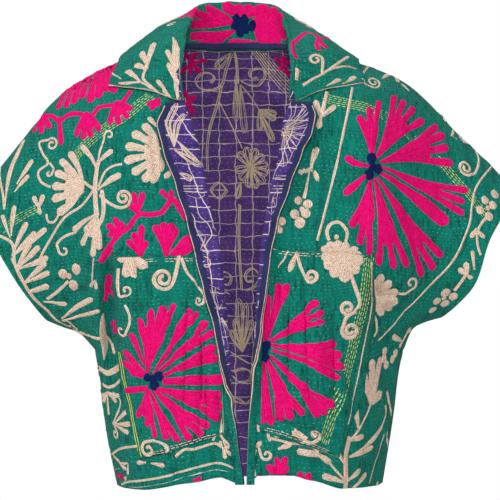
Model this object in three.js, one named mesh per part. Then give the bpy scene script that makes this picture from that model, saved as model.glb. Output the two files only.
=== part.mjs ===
import * as THREE from 'three';

// Kantha jacket, filled out and hollow, in millimetres. +Z is up and the front faces -Y.
// The origin is level with the neck seam, midway between the front and the back.
// Left and right are as seen from the front. The sleeves are cut in one with the body.

// Cloth
const QUILT = 2;
const COLLAR_QUILT = 2.4;
const TAPE = 1;
const SEAM_GAP = 0.3;
const SEAM_HALF = SEAM_GAP / 2;

// How deep the cloth stands from the plane of the shoulder and side seams
const BODY_DEPTH = { front: 128, back: 118 };
const SLEEVE_DEPTH = 78;
const SHOULDER_ROUND = 170;
const SIDE_ROUND = 150;
const BODY_HALF = 150;
const SLEEVE_START = 300;

// The front edge, turned out into a lapel
const ROLL_RADIUS = 3;
const ROLL_STEPS = 3;
const TURN_STEPS = 3;
const TAPE_WIDTH = 10;
const COLLAR_POINT_LEVEL = -84;

// Rows from the shoulder line down to the hem, and columns outwards
const COLLAR_ROWS = 7;
const SLEEVE_ROWS = 15;
const UNDERARM_ROWS = 18;
const HEM_ROWS = 26;
const FRONT_COLUMNS = 19;
const NECK_COLUMNS = 3;
const BACK_COLUMNS = 18;
const CENTRE = -8;
const FINE = 8;

// Seam lines seen from the front, as distances out from the centre and heights
const SHOULDER = {
  left: [
    { out: 90, up: 5 }, { out: 134, up: -5 }, { out: 177, up: -16 }, { out: 228, up: -40 },
    { out: 267, up: -67 }, { out: 307, up: -113 }, { out: 354, up: -171 }, { out: 394, up: -220 },
  ],
  right: [
    { out: 70, up: 5 }, { out: 120, up: -8 }, { out: 178, up: -23 }, { out: 229, up: -45 },
    { out: 264, up: -73 }, { out: 304, up: -116 }, { out: 358, up: -168 }, { out: 394, up: -206 },
  ],
};
const CUFF = {
  left: [
    { out: 394, up: -220 }, { out: 354, up: -284 }, { out: 320, up: -341 }, { out: 284, up: -393 },
  ],
  right: [
    { out: 394, up: -206 }, { out: 351, up: -273 }, { out: 328, up: -340 }, { out: 286, up: -388 },
  ],
};
const UNDERARM = {
  left: [
    { out: 284, up: -393 }, { out: 262, up: -402 }, { out: 238, up: -411 }, { out: 216, up: -434 },
  ],
  right: [
    { out: 286, up: -388 }, { out: 262, up: -395 }, { out: 243, up: -406 }, { out: 230, up: -435 },
  ],
};
const SIDE = {
  left: [
    { out: 216, up: -434 }, { out: 209, up: -476 }, { out: 205, up: -515 }, { out: 197, up: -567 },
    { out: 184, up: -630 },
  ],
  right: [
    { out: 230, up: -435 }, { out: 223, up: -476 }, { out: 218, up: -520 }, { out: 211, up: -567 },
    { out: 201, up: -627 },
  ],
};
const NECK_HOLLOW = { middle: 21, quarter: 17 };
const BACK_NECK_LEVEL = 3;
const BACK_HEM_LEVEL = -630;

// The front neckline down to the notch, then the line where the lapel folds, how wide
// it is turned out and through how many degrees
const NECKLINE = {
  left: [{ up: 5, out: 90 }, { up: -20, out: 95 }, { up: -50, out: 97 }, { up: -84, out: 90 }],
  right: [{ up: 5, out: 70 }, { up: -20, out: 75 }, { up: -50, out: 77 }, { up: -84, out: 69 }],
};
const LAPEL = {
  left: [
    { up: -84, fold: 85, turn: 24, angle: 180 }, { up: -115, fold: 72, turn: 50, angle: 180 },
    { up: -152, fold: 61, turn: 52, angle: 180 }, { up: -202, fold: 51, turn: 44, angle: 180 },
    { up: -250, fold: 40, turn: 40, angle: 180 }, { up: -300, fold: 31, turn: 37, angle: 180 },
    { up: -345, fold: 27, turn: 30, angle: 180 }, { up: -400, fold: 22, turn: 20, angle: 180 },
    { up: -440, fold: 19, turn: 17, angle: 170 }, { up: -475, fold: 17, turn: 16, angle: 135 },
    { up: -510, fold: 16, turn: 16, angle: 60 }, { up: -545, fold: 10, turn: 16, angle: 15 },
    { up: -617, fold: 1, turn: 16, angle: 0 },
  ],
  right: [
    { up: -84, fold: 64, turn: 30, angle: 180 }, { up: -103, fold: 57, turn: 44, angle: 180 },
    { up: -128, fold: 51, turn: 45, angle: 180 }, { up: -152, fold: 47, turn: 36, angle: 180 },
    { up: -202, fold: 36, turn: 29, angle: 180 }, { up: -250, fold: 28, turn: 20, angle: 180 },
    { up: -300, fold: 22, turn: 16, angle: 180 }, { up: -345, fold: 19, turn: 16, angle: 160 },
    { up: -400, fold: 15, turn: 16, angle: 140 }, { up: -440, fold: 13, turn: 16, angle: 110 },
    { up: -475, fold: 11, turn: 16, angle: 60 }, { up: -545, fold: 6, turn: 16, angle: 10 },
    { up: -617, fold: 4, turn: 16, angle: 0 },
  ],
};
const FRONT_HEM = [
  { x: -184, up: -630 }, { x: -140, up: -628 }, { x: -78, up: -616 }, { x: -32, up: -607 },
  { x: -3, up: -617 }, { x: 5, up: -617 }, { x: 22, up: -603 }, { x: 60, up: -602 },
  { x: 95, up: -612 }, { x: 137, up: -625 }, { x: 201, up: -627 },
];

// The largest folds: each sinks into its panel along a line, positive depth inwards
const FOLDS = [
  { face: 'front', x1: -190, up1: -285, x2: -184, up2: -520, width: 13, depth: 11 },
  { face: 'front', x1: -84, up1: -400, x2: -78, up2: -640, width: 17, depth: 6 },
  { face: 'front', x1: -40, up1: -520, x2: -52, up2: -650, width: 10, depth: 6 },
  { face: 'front', x1: -245, up1: -420, x2: -225, up2: -240, width: 20, depth: 8 },
  { face: 'front', x1: -150, up1: -70, x2: -176, up2: -270, width: 22, depth: 5 },
  { face: 'front', x1: 203, up1: -520, x2: 186, up2: -330, width: 13, depth: 11 },
  { face: 'front', x1: 240, up1: -425, x2: 176, up2: -330, width: 12, depth: 7 },
  { face: 'front', x1: 262, up1: -410, x2: 246, up2: -230, width: 20, depth: 8 },
  { face: 'front', x1: 112, up1: -90, x2: 74, up2: -280, width: 12, depth: 5 },
  { face: 'front', x1: 104, up1: -480, x2: 112, up2: -650, width: 18, depth: 6 },
  { face: 'back', x1: -238, up1: -420, x2: -176, up2: -220, width: 22, depth: 10 },
  { face: 'back', x1: 248, up1: -415, x2: 186, up2: -214, width: 22, depth: 10 },
  { face: 'back', x1: -96, up1: -300, x2: -112, up2: -650, width: 24, depth: 9 },
  { face: 'back', x1: 14, up1: -360, x2: 4, up2: -650, width: 26, depth: 7 },
  { face: 'back', x1: 108, up1: -280, x2: 128, up2: -650, width: 24, depth: 9 },
  { face: 'back', x1: -60, up1: -60, x2: 60, up2: -66, width: 22, depth: 5 },
];

// Collar: where it rolls over and where its outer edge lies, round the neck from left to right
const COLLAR_CLEARANCE = 6;
const COLLAR_TOP_HALF = 4;
const COLLAR_RISE = 3;
const COLLAR_SEAM_GAP = 0.9;
const COLLAR_STEP = 18;
const COLLAR_COLUMNS = 16;
const COLLAR_STATIONS = [
  { seam: 0.0, roll: [-87, -117, -77], edge: [-191, -79, -57], bulge: 3 },
  { seam: 0.1, roll: [-91, -100, -38], edge: [-189, -66, -45], bulge: 5 },
  { seam: 0.2, roll: [-87, -68, 6], edge: [-181, -46, -21], bulge: 8 },
  { seam: 0.3, roll: [-80, -10, 44], edge: [-171, 10, -1], bulge: 9 },
  { seam: 0.4, roll: [-66, 40, 70], edge: [-145, 68, -8], bulge: 9 },
  { seam: 0.5, roll: [-8, 60, 78], edge: [-8, 100, -20], bulge: 6 },
  { seam: 0.6, roll: [48, 40, 70], edge: [122, 70, -10], bulge: 9 },
  { seam: 0.7, roll: [61, -10, 38], edge: [153, 10, -6], bulge: 9 },
  { seam: 0.8, roll: [67, -68, 5], edge: [165, -46, -22], bulge: 8 },
  { seam: 0.9, roll: [70, -100, -40], edge: [171, -62, -41], bulge: 5 },
  { seam: 1.0, roll: [66, -113, -77], edge: [170, -75, -52], bulge: 3 },
];

// Patch pockets, as distances out from the centre and heights of their corners
const POCKET_GAP = 0.8;
const POCKET_REACH = 6;
const POCKET_COLUMNS = 10;
const POCKET_ROWS = 12;
const POCKETS = {
  left: { top: -298, bottom: -545, inner: [39, 33, 30, 27], outer: [183, 180, 173, 144], sink: 39, lean: 2 },
  right: { top: -289, bottom: -541, inner: [31, 26, 25, 24], outer: [182, 183, 168, 132], sink: 40, lean: 8 },
};

const COLOURS = { cloth: 0x007a6b, pocket: 0x0a8471, collar: 0x007a6b, tape: 0x34386a };

const clamp = (value) => Math.min(1, Math.max(0, value));
const mix = (a, b, share) => a + (b - a) * share;
const smooth = (from, to, value) => {
  const share = clamp((value - from) / (to - from));
  return share * share * (3 - 2 * share);
};
const crown = (share) => Math.sqrt(1 - (1 - clamp(share)) ** 2);
const wave = (share) => (1 - Math.cos(Math.PI * share)) / 2;

// A smooth line through the rows of a seam table
function trace(table, side) {
  const curve = new THREE.SplineCurve(table.map((row) => new THREE.Vector2(side * row.out, row.up)));
  return curve.getPoints(FINE * (table.length - 1));
}

function along(line, share) {
  const lengths = line.map((point, i) => (i ? point.distanceTo(line[i - 1]) : 0));
  let rest = share * lengths.reduce((sum, length) => sum + length, 0);
  for (let i = 1; i < line.length; i += 1) {
    if (rest <= lengths[i] || i === line.length - 1) {
      return line[i - 1].clone().lerp(line[i], clamp(rest / lengths[i]));
    }
    rest -= lengths[i];
  }
  return line[0].clone();
}

function distance(line, x, up) {
  let nearest = Infinity;
  for (let i = 1; i < line.length; i += 1) {
    const a = line[i - 1];
    const b = line[i];
    const length = (b.x - a.x) ** 2 + (b.y - a.y) ** 2;
    const share = clamp(((x - a.x) * (b.x - a.x) + (up - a.y) * (b.y - a.y)) / length);
    nearest = Math.min(nearest, Math.hypot(x - mix(a.x, b.x, share), up - mix(a.y, b.y, share)));
  }
  return nearest;
}

// A value of a table at a height, between its rows
function atLevel(table, column, up, key = 'up') {
  const falling = table[0][key] > table[table.length - 1][key];
  const i = table.findIndex((row) => (falling ? row[key] <= up : row[key] >= up));
  if (i <= 0) return i === 0 ? table[0][column] : table[table.length - 1][column];
  const a = table[i - 1];
  const b = table[i];
  return mix(a[column], b[column], smooth(0, 1, (up - a[key]) / (b[key] - a[key])) * 0.5
    + ((up - a[key]) / (b[key] - a[key])) * 0.5);
}

const SIDES = { left: -1, right: 1 };
const shoulder = {};
const cuff = {};
const underarm = {};
const sideSeam = {};
for (const [name, side] of Object.entries(SIDES)) {
  shoulder[name] = trace(SHOULDER[name], side);
  cuff[name] = trace(CUFF[name], side);
  underarm[name] = trace(UNDERARM[name], side);
  sideSeam[name] = trace(SIDE[name], side);
}
const neckHollow = [
  new THREE.Vector2(-50, NECK_HOLLOW.quarter),
  new THREE.Vector2(CENTRE, NECK_HOLLOW.middle),
  new THREE.Vector2(34, NECK_HOLLOW.quarter),
];
const topLine = [...[...shoulder.left].reverse(), ...neckHollow, ...shoulder.right];
const closedSeam = {
  left: [...underarm.left, ...sideSeam.left.slice(1)],
  right: [...underarm.right, ...sideSeam.right.slice(1)],
};

function foldDepth(face, x, up) {
  let depth = 0;
  for (const fold of FOLDS) {
    if (fold.face !== face) continue;
    const dx = fold.x2 - fold.x1;
    const dup = fold.up2 - fold.up1;
    const length = Math.hypot(dx, dup);
    const share = ((x - fold.x1) * dx + (up - fold.up1) * dup) / length ** 2;
    const off = ((x - fold.x1) * dup - (up - fold.up1) * dx) / length;
    const fade = 4 * clamp(share) * (1 - clamp(share));
    depth += fold.depth * Math.sqrt(fade) * Math.exp(-((off / fold.width) ** 2));
  }
  return depth;
}

// How far the cloth stands from the seam plane at a place seen from the front
function depthAt(face, x, up, folds = 1) {
  const toShoulder = distance(topLine, x, up);
  const toSeam = distance(x < CENTRE ? closedSeam.left : closedSeam.right, x, up);
  const full = mix(BODY_DEPTH[face], SLEEVE_DEPTH, smooth(BODY_HALF, SLEEVE_START, Math.abs(x)));
  const base = full * crown(toShoulder / SHOULDER_ROUND) * crown(toSeam / SIDE_ROUND);
  return Math.max(SEAM_HALF, base - folds * foldDepth(face, x, up) * clamp(base / 60));
}

function onPanel(face, x, up) {
  return new THREE.Vector3(x, (face === 'front' ? -1 : 1) * depthAt(face, x, up), up);
}

// The outer end of each row: down the cuff, then the underarm, then the side
function outerEnd(name, row) {
  if (row <= SLEEVE_ROWS) return along(cuff[name], wave(row / SLEEVE_ROWS));
  if (row <= UNDERARM_ROWS) {
    return along(underarm[name], (row - SLEEVE_ROWS) / (UNDERARM_ROWS - SLEEVE_ROWS));
  }
  return along(sideSeam[name], (row - UNDERARM_ROWS) / (HEM_ROWS - UNDERARM_ROWS));
}

// The height of each row at its inner end
function innerLevel(row, top, hem) {
  if (row <= COLLAR_ROWS) {
    return mix(COLLAR_POINT_LEVEL, top, Math.cos((Math.PI / 2) * (row / COLLAR_ROWS)));
  }
  const levels = [
    { row: COLLAR_ROWS, level: COLLAR_POINT_LEVEL }, { row: SLEEVE_ROWS, level: -335 },
    { row: UNDERARM_ROWS, level: -408 }, { row: HEM_ROWS, level: hem },
  ];
  const i = levels.findIndex((step) => row <= step.row);
  const share = (row - levels[i - 1].row) / (levels[i].row - levels[i - 1].row);
  return mix(levels[i - 1].level, levels[i].level, share);
}

// A row runs straight out, bent by what is left of the bend of the shoulder line
function rowPoint(name, row, share, inner, topAt) {
  const outer = outerEnd(name, row);
  const top = topAt(share);
  const bend = Math.cos((Math.PI / 2) * clamp(row / SLEEVE_ROWS)) ** 2;
  const x = mix(inner.x, outer.x, share) + bend * (top.x - mix(topAt(0).x, topAt(1).x, share));
  const up = mix(inner.y, outer.y, share) + bend * (top.y - mix(topAt(0).y, topAt(1).y, share));
  return new THREE.Vector2(x, up);
}

const columnShare = (column, count) => mix(column / count, Math.sin((Math.PI / 2) * (column / count)), 0.88);

// How far the turned front edge reaches past the place where it starts to roll
function rollReach(lapel) {
  const turn = THREE.MathUtils.degToRad(lapel.angle);
  if (lapel.angle > 90) return ROLL_RADIUS + QUILT;
  return (ROLL_RADIUS + QUILT) * Math.sin(turn) + lapel.flat * Math.cos(turn);
}

function lapelAt(name, up) {
  const table = LAPEL[name];
  const lapel = {
    fold: atLevel(table, 'fold', up),
    flat: atLevel(table, 'turn', up) - ROLL_RADIUS - QUILT,
    angle: atLevel(table, 'angle', up),
  };
  lapel.start = lapel.fold + rollReach(lapel);
  return lapel;
}

// The rolled front edge at one height, from its free edge back to the panel
function turnedEdge(name, up) {
  const side = SIDES[name];
  const lapel = lapelAt(name, up);
  const turn = THREE.MathUtils.degToRad(lapel.angle);
  const root = onPanel('front', side * lapel.start, up);
  const tape = Math.min(TAPE_WIDTH, lapel.flat * 0.9);
  const flats = [0, lapel.flat - tape, lapel.flat - tape / 2, lapel.flat];
  const points = [];
  const place = (inwards, forwards) => {
    const x = root.x - side * inwards;
    const follow = (depthAt('front', x, up, 0) + root.y) * (lapel.angle / 180);
    points.push(new THREE.Vector3(x, root.y - forwards - (inwards < 0 ? follow : 0), up));
  };
  for (let step = 1; step <= ROLL_STEPS; step += 1) {
    const angle = (turn * step) / ROLL_STEPS;
    place(ROLL_RADIUS * Math.sin(angle), ROLL_RADIUS * (1 - Math.cos(angle)));
  }
  for (let step = 1; step <= TURN_STEPS; step += 1) {
    const inwards = ROLL_RADIUS * Math.sin(turn) + flats[step] * Math.cos(turn);
    place(inwards, ROLL_RADIUS * (1 - Math.cos(turn)) + flats[step] * Math.sin(turn));
  }
  return points.reverse();
}

function frontPoints(name) {
  const side = SIDES[name];
  const rows = [];
  for (let row = 0; row <= HEM_ROWS; row += 1) {
    const level = innerLevel(row, SHOULDER[name][0].up, -617);
    const out = row < COLLAR_ROWS ? atLevel(NECKLINE[name], 'out', level) : lapelAt(name, level).start;
    const inner = new THREE.Vector2(side * out, level);
    const edge = row < COLLAR_ROWS ? Array(ROLL_STEPS + TURN_STEPS).fill(null) : turnedEdge(name, level);
    const panel = [];
    for (let column = 0; column <= FRONT_COLUMNS; column += 1) {
      const share = columnShare(column, FRONT_COLUMNS);
      const place = rowPoint(name, row, share, inner, (s) => along(shoulder[name], s));
      const nearHem = smooth(-470, -617, level) * (row > UNDERARM_ROWS ? 1 : 0);
      const hem = atLevel(FRONT_HEM, 'up', place.x, 'x');
      const straight = mix(-617, SIDE[name][SIDE[name].length - 1].up, share);
      const up = place.y + nearHem * (hem - straight);
      const seam = row === 0 || (column === FRONT_COLUMNS && row >= SLEEVE_ROWS);
      panel.push(seam ? new THREE.Vector3(place.x, -SEAM_HALF, up) : onPanel('front', place.x, up));
    }
    rows.push([...edge, ...panel]);
  }
  return rows;
}

// The top of the back runs from the centre round the neck and out along the shoulder
function backTop(name, share) {
  const neckShare = columnShare(NECK_COLUMNS, BACK_COLUMNS);
  const start = new THREE.Vector2(CENTRE, BACK_NECK_LEVEL);
  if (share < neckShare) return start.lerp(shoulder[name][0], share / neckShare);
  return along(shoulder[name], (share - neckShare) / (1 - neckShare));
}

function backHalf(name) {
  const rows = [];
  for (let row = 0; row <= HEM_ROWS; row += 1) {
    const inner = new THREE.Vector2(CENTRE, innerLevel(row, BACK_NECK_LEVEL, BACK_HEM_LEVEL));
    const half = [];
    for (let column = 0; column <= BACK_COLUMNS; column += 1) {
      const share = columnShare(column, BACK_COLUMNS);
      const place = rowPoint(name, row, share, inner, (s) => backTop(name, s));
      const onShoulder = row === 0 && column >= NECK_COLUMNS;
      const seam = onShoulder || (column === BACK_COLUMNS && row >= SLEEVE_ROWS);
      half.push(seam ? new THREE.Vector3(place.x, SEAM_HALF, place.y) : onPanel('back', place.x, place.y));
    }
    rows.push(half);
  }
  return rows;
}

function backPoints() {
  const left = backHalf('left');
  const right = backHalf('right');
  return left.map((row, i) => [...[...row].reverse(), ...right[i].slice(1)]);
}

// A sheet keeps a grid of points with the direction that each faces
function makeSheet(points, flip) {
  const near = (i, j, di, dj) => points[i + di]?.[j + dj] ?? points[i][j];
  const normals = points.map((row, i) => row.map((point, j) => {
    if (!point) return null;
    const across = near(i, j, 0, 1).clone().sub(near(i, j, 0, -1));
    const down = near(i, j, 1, 0).clone().sub(near(i, j, -1, 0));
    const normal = across.cross(down).multiplyScalar(flip);
    if (Math.abs(Math.abs(point.y) - SEAM_HALF) < 1e-6) normal.y = 0;
    return normal.normalize();
  }));
  return { points, normals, flip };
}

function movedOut(sheet, by) {
  const points = sheet.points.map((row, i) => row.map((point, j) => (
    point ? point.clone().addScaledVector(sheet.normals[i][j], by) : null)));
  return { ...sheet, points };
}

function cropped(sheet, firstRow, lastRow, firstColumn, lastColumn) {
  const crop = (grid) => grid.slice(firstRow, lastRow + 1).map((row) => row.slice(firstColumn, lastColumn + 1));
  return { points: crop(sheet.points), normals: crop(sheet.normals), flip: sheet.flip };
}

// A wall has the sheet as its face, the same sheet moved in as its back, and a rim between
function makeWall(name, sheet, thickness, colour) {
  const { points, flip } = sheet;
  const inner = movedOut(sheet, -thickness).points;
  const index = points.map((row) => row.map(() => -1));
  const positions = [];
  let count = 0;
  points.forEach((row, i) => row.forEach((point, j) => {
    if (!point) return;
    index[i][j] = count;
    count += 1;
    positions.push(...point.toArray(), ...inner[i][j].toArray());
  }));
  const faces = [];
  for (let i = 0; i + 1 < points.length; i += 1) {
    for (let j = 0; j + 1 < points[i].length; j += 1) {
      const corners = [index[i][j], index[i][j + 1], index[i + 1][j + 1], index[i + 1][j]];
      if (corners.includes(-1)) continue;
      const [a, b, c, d] = flip > 0 ? corners : [corners[0], corners[3], corners[2], corners[1]];
      faces.push([a, b, c], [a, c, d]);
    }
  }
  const edges = new Map();
  for (const face of faces) {
    face.forEach((from, k) => edges.set(`${from} ${face[(k + 1) % 3]}`, [from, face[(k + 1) % 3]]));
  }
  const triangles = [];
  for (const [a, b, c] of faces) triangles.push(2 * a, 2 * b, 2 * c, 2 * a + 1, 2 * c + 1, 2 * b + 1);
  for (const [from, to] of edges.values()) {
    if (edges.has(`${to} ${from}`)) continue;
    triangles.push(2 * to, 2 * from, 2 * from + 1, 2 * to, 2 * from + 1, 2 * to + 1);
  }
  const geometry = new THREE.BufferGeometry();
  geometry.setAttribute('position', new THREE.Float32BufferAttribute(positions, 3));
  geometry.setIndex(triangles);
  geometry.computeVertexNormals();
  const material = new THREE.MeshStandardMaterial({ color: colour, roughness: 0.9, metalness: 0 });
  const mesh = new THREE.Mesh(geometry, material);
  mesh.name = name;
  return mesh;
}

// The neck seam round the edges of the panels, with the way out of the cloth at each place
function neckSeam(fronts, back) {
  const seam = [];
  const add = (sheet, i, j, di, dj) => {
    const away = sheet.points[i][j].clone().sub(sheet.points[i + di][j + dj]).normalize();
    const base = sheet.points[i][j].clone().addScaledVector(sheet.normals[i][j], -QUILT);
    seam.push({ base: base.addScaledVector(away, COLLAR_SEAM_GAP), away, behind: sheet === back });
  };
  const first = ROLL_STEPS + TURN_STEPS;
  for (let row = COLLAR_ROWS; row > 0; row -= 1) add(fronts.left, row, first, 0, 1);
  for (let j = BACK_COLUMNS - NECK_COLUMNS; j <= BACK_COLUMNS + NECK_COLUMNS; j += 1) {
    add(back, 0, j, 1, 0);
  }
  for (let row = 1; row <= COLLAR_ROWS; row += 1) add(fronts.right, row, first, 0, 1);
  return spacedEvenly(seam);
}

// Long stretches of the seam are divided, and each place gets its share of the whole length
function spacedEvenly(seam) {
  const fine = [seam[0]];
  for (let k = 1; k < seam.length; k += 1) {
    const from = seam[k - 1];
    const parts = Math.ceil(from.base.distanceTo(seam[k].base) / COLLAR_STEP);
    for (let part = 1; part <= parts; part += 1) {
      const base = from.base.clone().lerp(seam[k].base, part / parts);
      const away = from.away.clone().lerp(seam[k].away, part / parts).normalize();
      fine.push({ base, away, behind: seam[k].behind });
    }
  }
  fine[0].share = 0;
  for (let k = 1; k < fine.length; k += 1) {
    fine[k].share = fine[k - 1].share + fine[k].base.distanceTo(fine[k - 1].base);
  }
  const whole = fine[fine.length - 1].share;
  return fine.map((place) => ({ ...place, share: place.share / whole }));
}

function collarPoints(seam) {
  const curve = (key) => new THREE.CatmullRomCurve3(
    COLLAR_STATIONS.map((station) => new THREE.Vector3(...station[key])), false, 'centripetal');
  const rolls = curve('roll');
  const edges = curve('edge');
  return seam.map(({ base, away, share }) => {
    const roll = rolls.getPoint(share);
    const edge = edges.getPoint(share);
    const bulge = atLevel(COLLAR_STATIONS, 'bulge', share, 'seam');
    const fall = edge.clone().sub(roll);
    const outwards = fall.clone().setZ(0).normalize();
    const lift = new THREE.Vector3(outwards.x * 0.6, outwards.y * 0.6, 0.8).multiplyScalar(bulge);
    const profile = new THREE.CatmullRomCurve3([
      base,
      base.clone().addScaledVector(away, COLLAR_TOP_HALF),
      base.clone().lerp(roll, 0.5).addScaledVector(outwards, -1),
      roll.clone().addScaledVector(outwards, -COLLAR_TOP_HALF).setZ(roll.z - COLLAR_RISE),
      roll,
      roll.clone().addScaledVector(outwards, COLLAR_TOP_HALF).setZ(roll.z - COLLAR_RISE),
      roll.clone().addScaledVector(fall, 0.4).add(lift),
      roll.clone().addScaledVector(fall, 0.75).addScaledVector(lift, 0.6),
      edge,
    ], false, 'centripetal');
    const points = profile.getPoints(COLLAR_COLUMNS);
    return points.map((point, k) => (k > COLLAR_COLUMNS * 0.6 ? clearOfPanel(point) : point));
  });
}

// The height of the shoulder line, and of the neck hollow between its ends
function shoulderLevel(x) {
  const i = topLine.findIndex((point) => point.x >= x);
  const [a, b] = [topLine[i - 1], topLine[i]];
  return mix(a.y, b.y, (x - a.x) / (b.x - a.x));
}

// The fall lies on the panels and never sinks into them
function clearOfPanel(point) {
  const below = shoulderLevel(point.x) - point.z;
  if (below <= 0) return point;
  const face = point.y < 0 ? 'front' : 'back';
  const least = depthAt(face, point.x, point.z, 0) + COLLAR_CLEARANCE * clamp(below / COLLAR_CLEARANCE);
  return point.setY(Math.sign(point.y) * Math.max(Math.abs(point.y), least));
}

// How far forward the facets of a front reach near a place
function foremost(sheet, x, up, reach) {
  let least = 0;
  const test = (px, pup, [a, b, c]) => {
    const area = (b.x - a.x) * (c.z - a.z) - (c.x - a.x) * (b.z - a.z);
    const atB = ((px - a.x) * (c.z - a.z) - (c.x - a.x) * (pup - a.z)) / area;
    const atC = ((b.x - a.x) * (pup - a.z) - (px - a.x) * (b.z - a.z)) / area;
    if (atB < 0 || atC < 0 || atB + atC > 1) return;
    least = Math.min(least, a.y + atB * (b.y - a.y) + atC * (c.y - a.y));
  };
  const first = ROLL_STEPS + TURN_STEPS;
  for (let i = COLLAR_ROWS; i < HEM_ROWS; i += 1) {
    for (let j = first; j < first + FRONT_COLUMNS; j += 1) {
      const [a, b] = [sheet.points[i][j], sheet.points[i][j + 1]];
      const [d, c] = [sheet.points[i + 1][j], sheet.points[i + 1][j + 1]];
      if (Math.min(a.x, d.x, b.x, c.x) > x + reach || Math.max(a.x, d.x, b.x, c.x) < x - reach) continue;
      if (Math.min(c.z, d.z) > up + reach || Math.max(a.z, b.z) < up - reach) continue;
      for (const px of [x - reach, x, x + reach]) {
        for (const pup of [up - reach, up, up + reach]) {
          test(px, pup, [a, b, c]);
          test(px, pup, [a, c, d]);
        }
      }
    }
  }
  return least;
}

// A pocket rests on the facets of its front
function pocketSheet(name, front) {
  const side = SIDES[name];
  const pocket = POCKETS[name];
  const edge = (outs) => outs.map((out, i) => ({ out, up: i / (outs.length - 1) }));
  const inners = edge(pocket.inner);
  const outers = edge(pocket.outer);
  const rows = [];
  for (let row = 0; row <= POCKET_ROWS; row += 1) {
    const down = row / POCKET_ROWS;
    const inner = atLevel(inners, 'out', down);
    const outer = atLevel(outers, 'out', down);
    const points = [];
    for (let column = 0; column <= POCKET_COLUMNS; column += 1) {
      const share = column / POCKET_COLUMNS;
      const level = mix(pocket.top, pocket.bottom, down) - share * mix(pocket.lean, pocket.sink, down);
      const x = side * mix(inner, outer, share);
      points.push(new THREE.Vector3(x, foremost(front, x, level, POCKET_REACH), level));
    }
    rows.push(points);
  }
  return movedOut(makeSheet(rows, -side), POCKET_GAP + QUILT);
}

const group = new THREE.Group();
const fronts = {};
for (const [name, side] of Object.entries(SIDES)) {
  fronts[name] = makeSheet(frontPoints(name), -side);
  group.add(makeWall(`front_${name}`, fronts[name], QUILT, COLOURS.cloth));
}
const back = makeSheet(backPoints(), 1);
group.add(makeWall('back', back, QUILT, COLOURS.cloth));

const neck = neckSeam(fronts, back);
const collar = makeSheet(collarPoints(neck), -1);
group.add(makeWall('collar', collar, COLLAR_QUILT, COLOURS.collar));

const behind = neck.map((place, k) => (place.behind ? k : -1)).filter((k) => k >= 0);
const neckTape = movedOut(cropped(collar, behind[0], behind[behind.length - 1], 2, 3), SEAM_GAP + TAPE);
group.add(makeWall('neck_tape', neckTape, TAPE, COLOURS.tape));

for (const name of Object.keys(SIDES)) {
  group.add(makeWall(`pocket_${name}`, pocketSheet(name, fronts[name]), QUILT, COLOURS.pocket));
  const edge = cropped(fronts[name], COLLAR_ROWS, HEM_ROWS, 0, 2);
  const tape = movedOut(edge, -QUILT - SEAM_GAP);
  group.add(makeWall(`front_tape_${name}`, tape, TAPE, COLOURS.tape));
}

export default group;
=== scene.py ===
# %% [markdown]
# # A kantha jacket
#
# Kantha is old cotton laid in layers and quilted with rows of running stitch. This jacket is a kantha
# that was embroidered with flowers first and cut up afterwards. Every cell makes one thing that a maker
# would: the cut of a panel, the puckered quilting, a petal of chain stitch, a tape. The frame holds the
# plain solids at their real size. The shells here follow the same seam lines at a finer step.

import math

import bpy
import numpy as np
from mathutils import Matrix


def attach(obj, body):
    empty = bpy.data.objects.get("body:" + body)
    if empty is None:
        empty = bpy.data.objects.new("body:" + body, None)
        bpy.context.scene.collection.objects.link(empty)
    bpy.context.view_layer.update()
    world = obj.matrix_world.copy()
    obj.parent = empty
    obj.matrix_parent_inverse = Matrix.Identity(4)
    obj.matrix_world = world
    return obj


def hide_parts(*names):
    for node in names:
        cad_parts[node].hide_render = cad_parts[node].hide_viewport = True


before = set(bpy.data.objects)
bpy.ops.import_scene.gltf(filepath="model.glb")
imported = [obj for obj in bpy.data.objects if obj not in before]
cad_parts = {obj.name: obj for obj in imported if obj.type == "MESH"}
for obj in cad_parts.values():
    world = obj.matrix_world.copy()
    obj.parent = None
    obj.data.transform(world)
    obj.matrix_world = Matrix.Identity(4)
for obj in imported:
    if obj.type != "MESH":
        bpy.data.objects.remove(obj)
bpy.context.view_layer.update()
MM = 0.001

# %% [markdown]
# ## The seam lines
#
# A pattern cutter draws the outline of each panel from a few measured points and a smooth curve between
# them. These are the same points as in the solids, as distances out from the centre and heights, in
# millimetres. Writing them again is the simple way: the shells then need nothing but arithmetic.

# %% Seam tables
SIDES = {"left": -1, "right": 1}
QUILT = 2.0
COLLAR_QUILT = 2.4
SEAM_HALF = 0.15
BODY_DEPTH = {"front": 128, "back": 118}
SLEEVE_DEPTH = 78
SHOULDER_ROUND = 170
SIDE_ROUND = 150
BODY_HALF = 150
SLEEVE_START = 300
ROLL_RADIUS = 3
TAPE_WIDTH = 10
COLLAR_POINT_LEVEL = -84
COLLAR_ROWS, SLEEVE_ROWS, UNDERARM_ROWS, HEM_ROWS = 7, 15, 18, 26
CENTRE = -8
BACK_NECK_LEVEL = 3
HEM_LEVEL = {"front": -617, "back": -630}
HEM_FADE = -470

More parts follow.
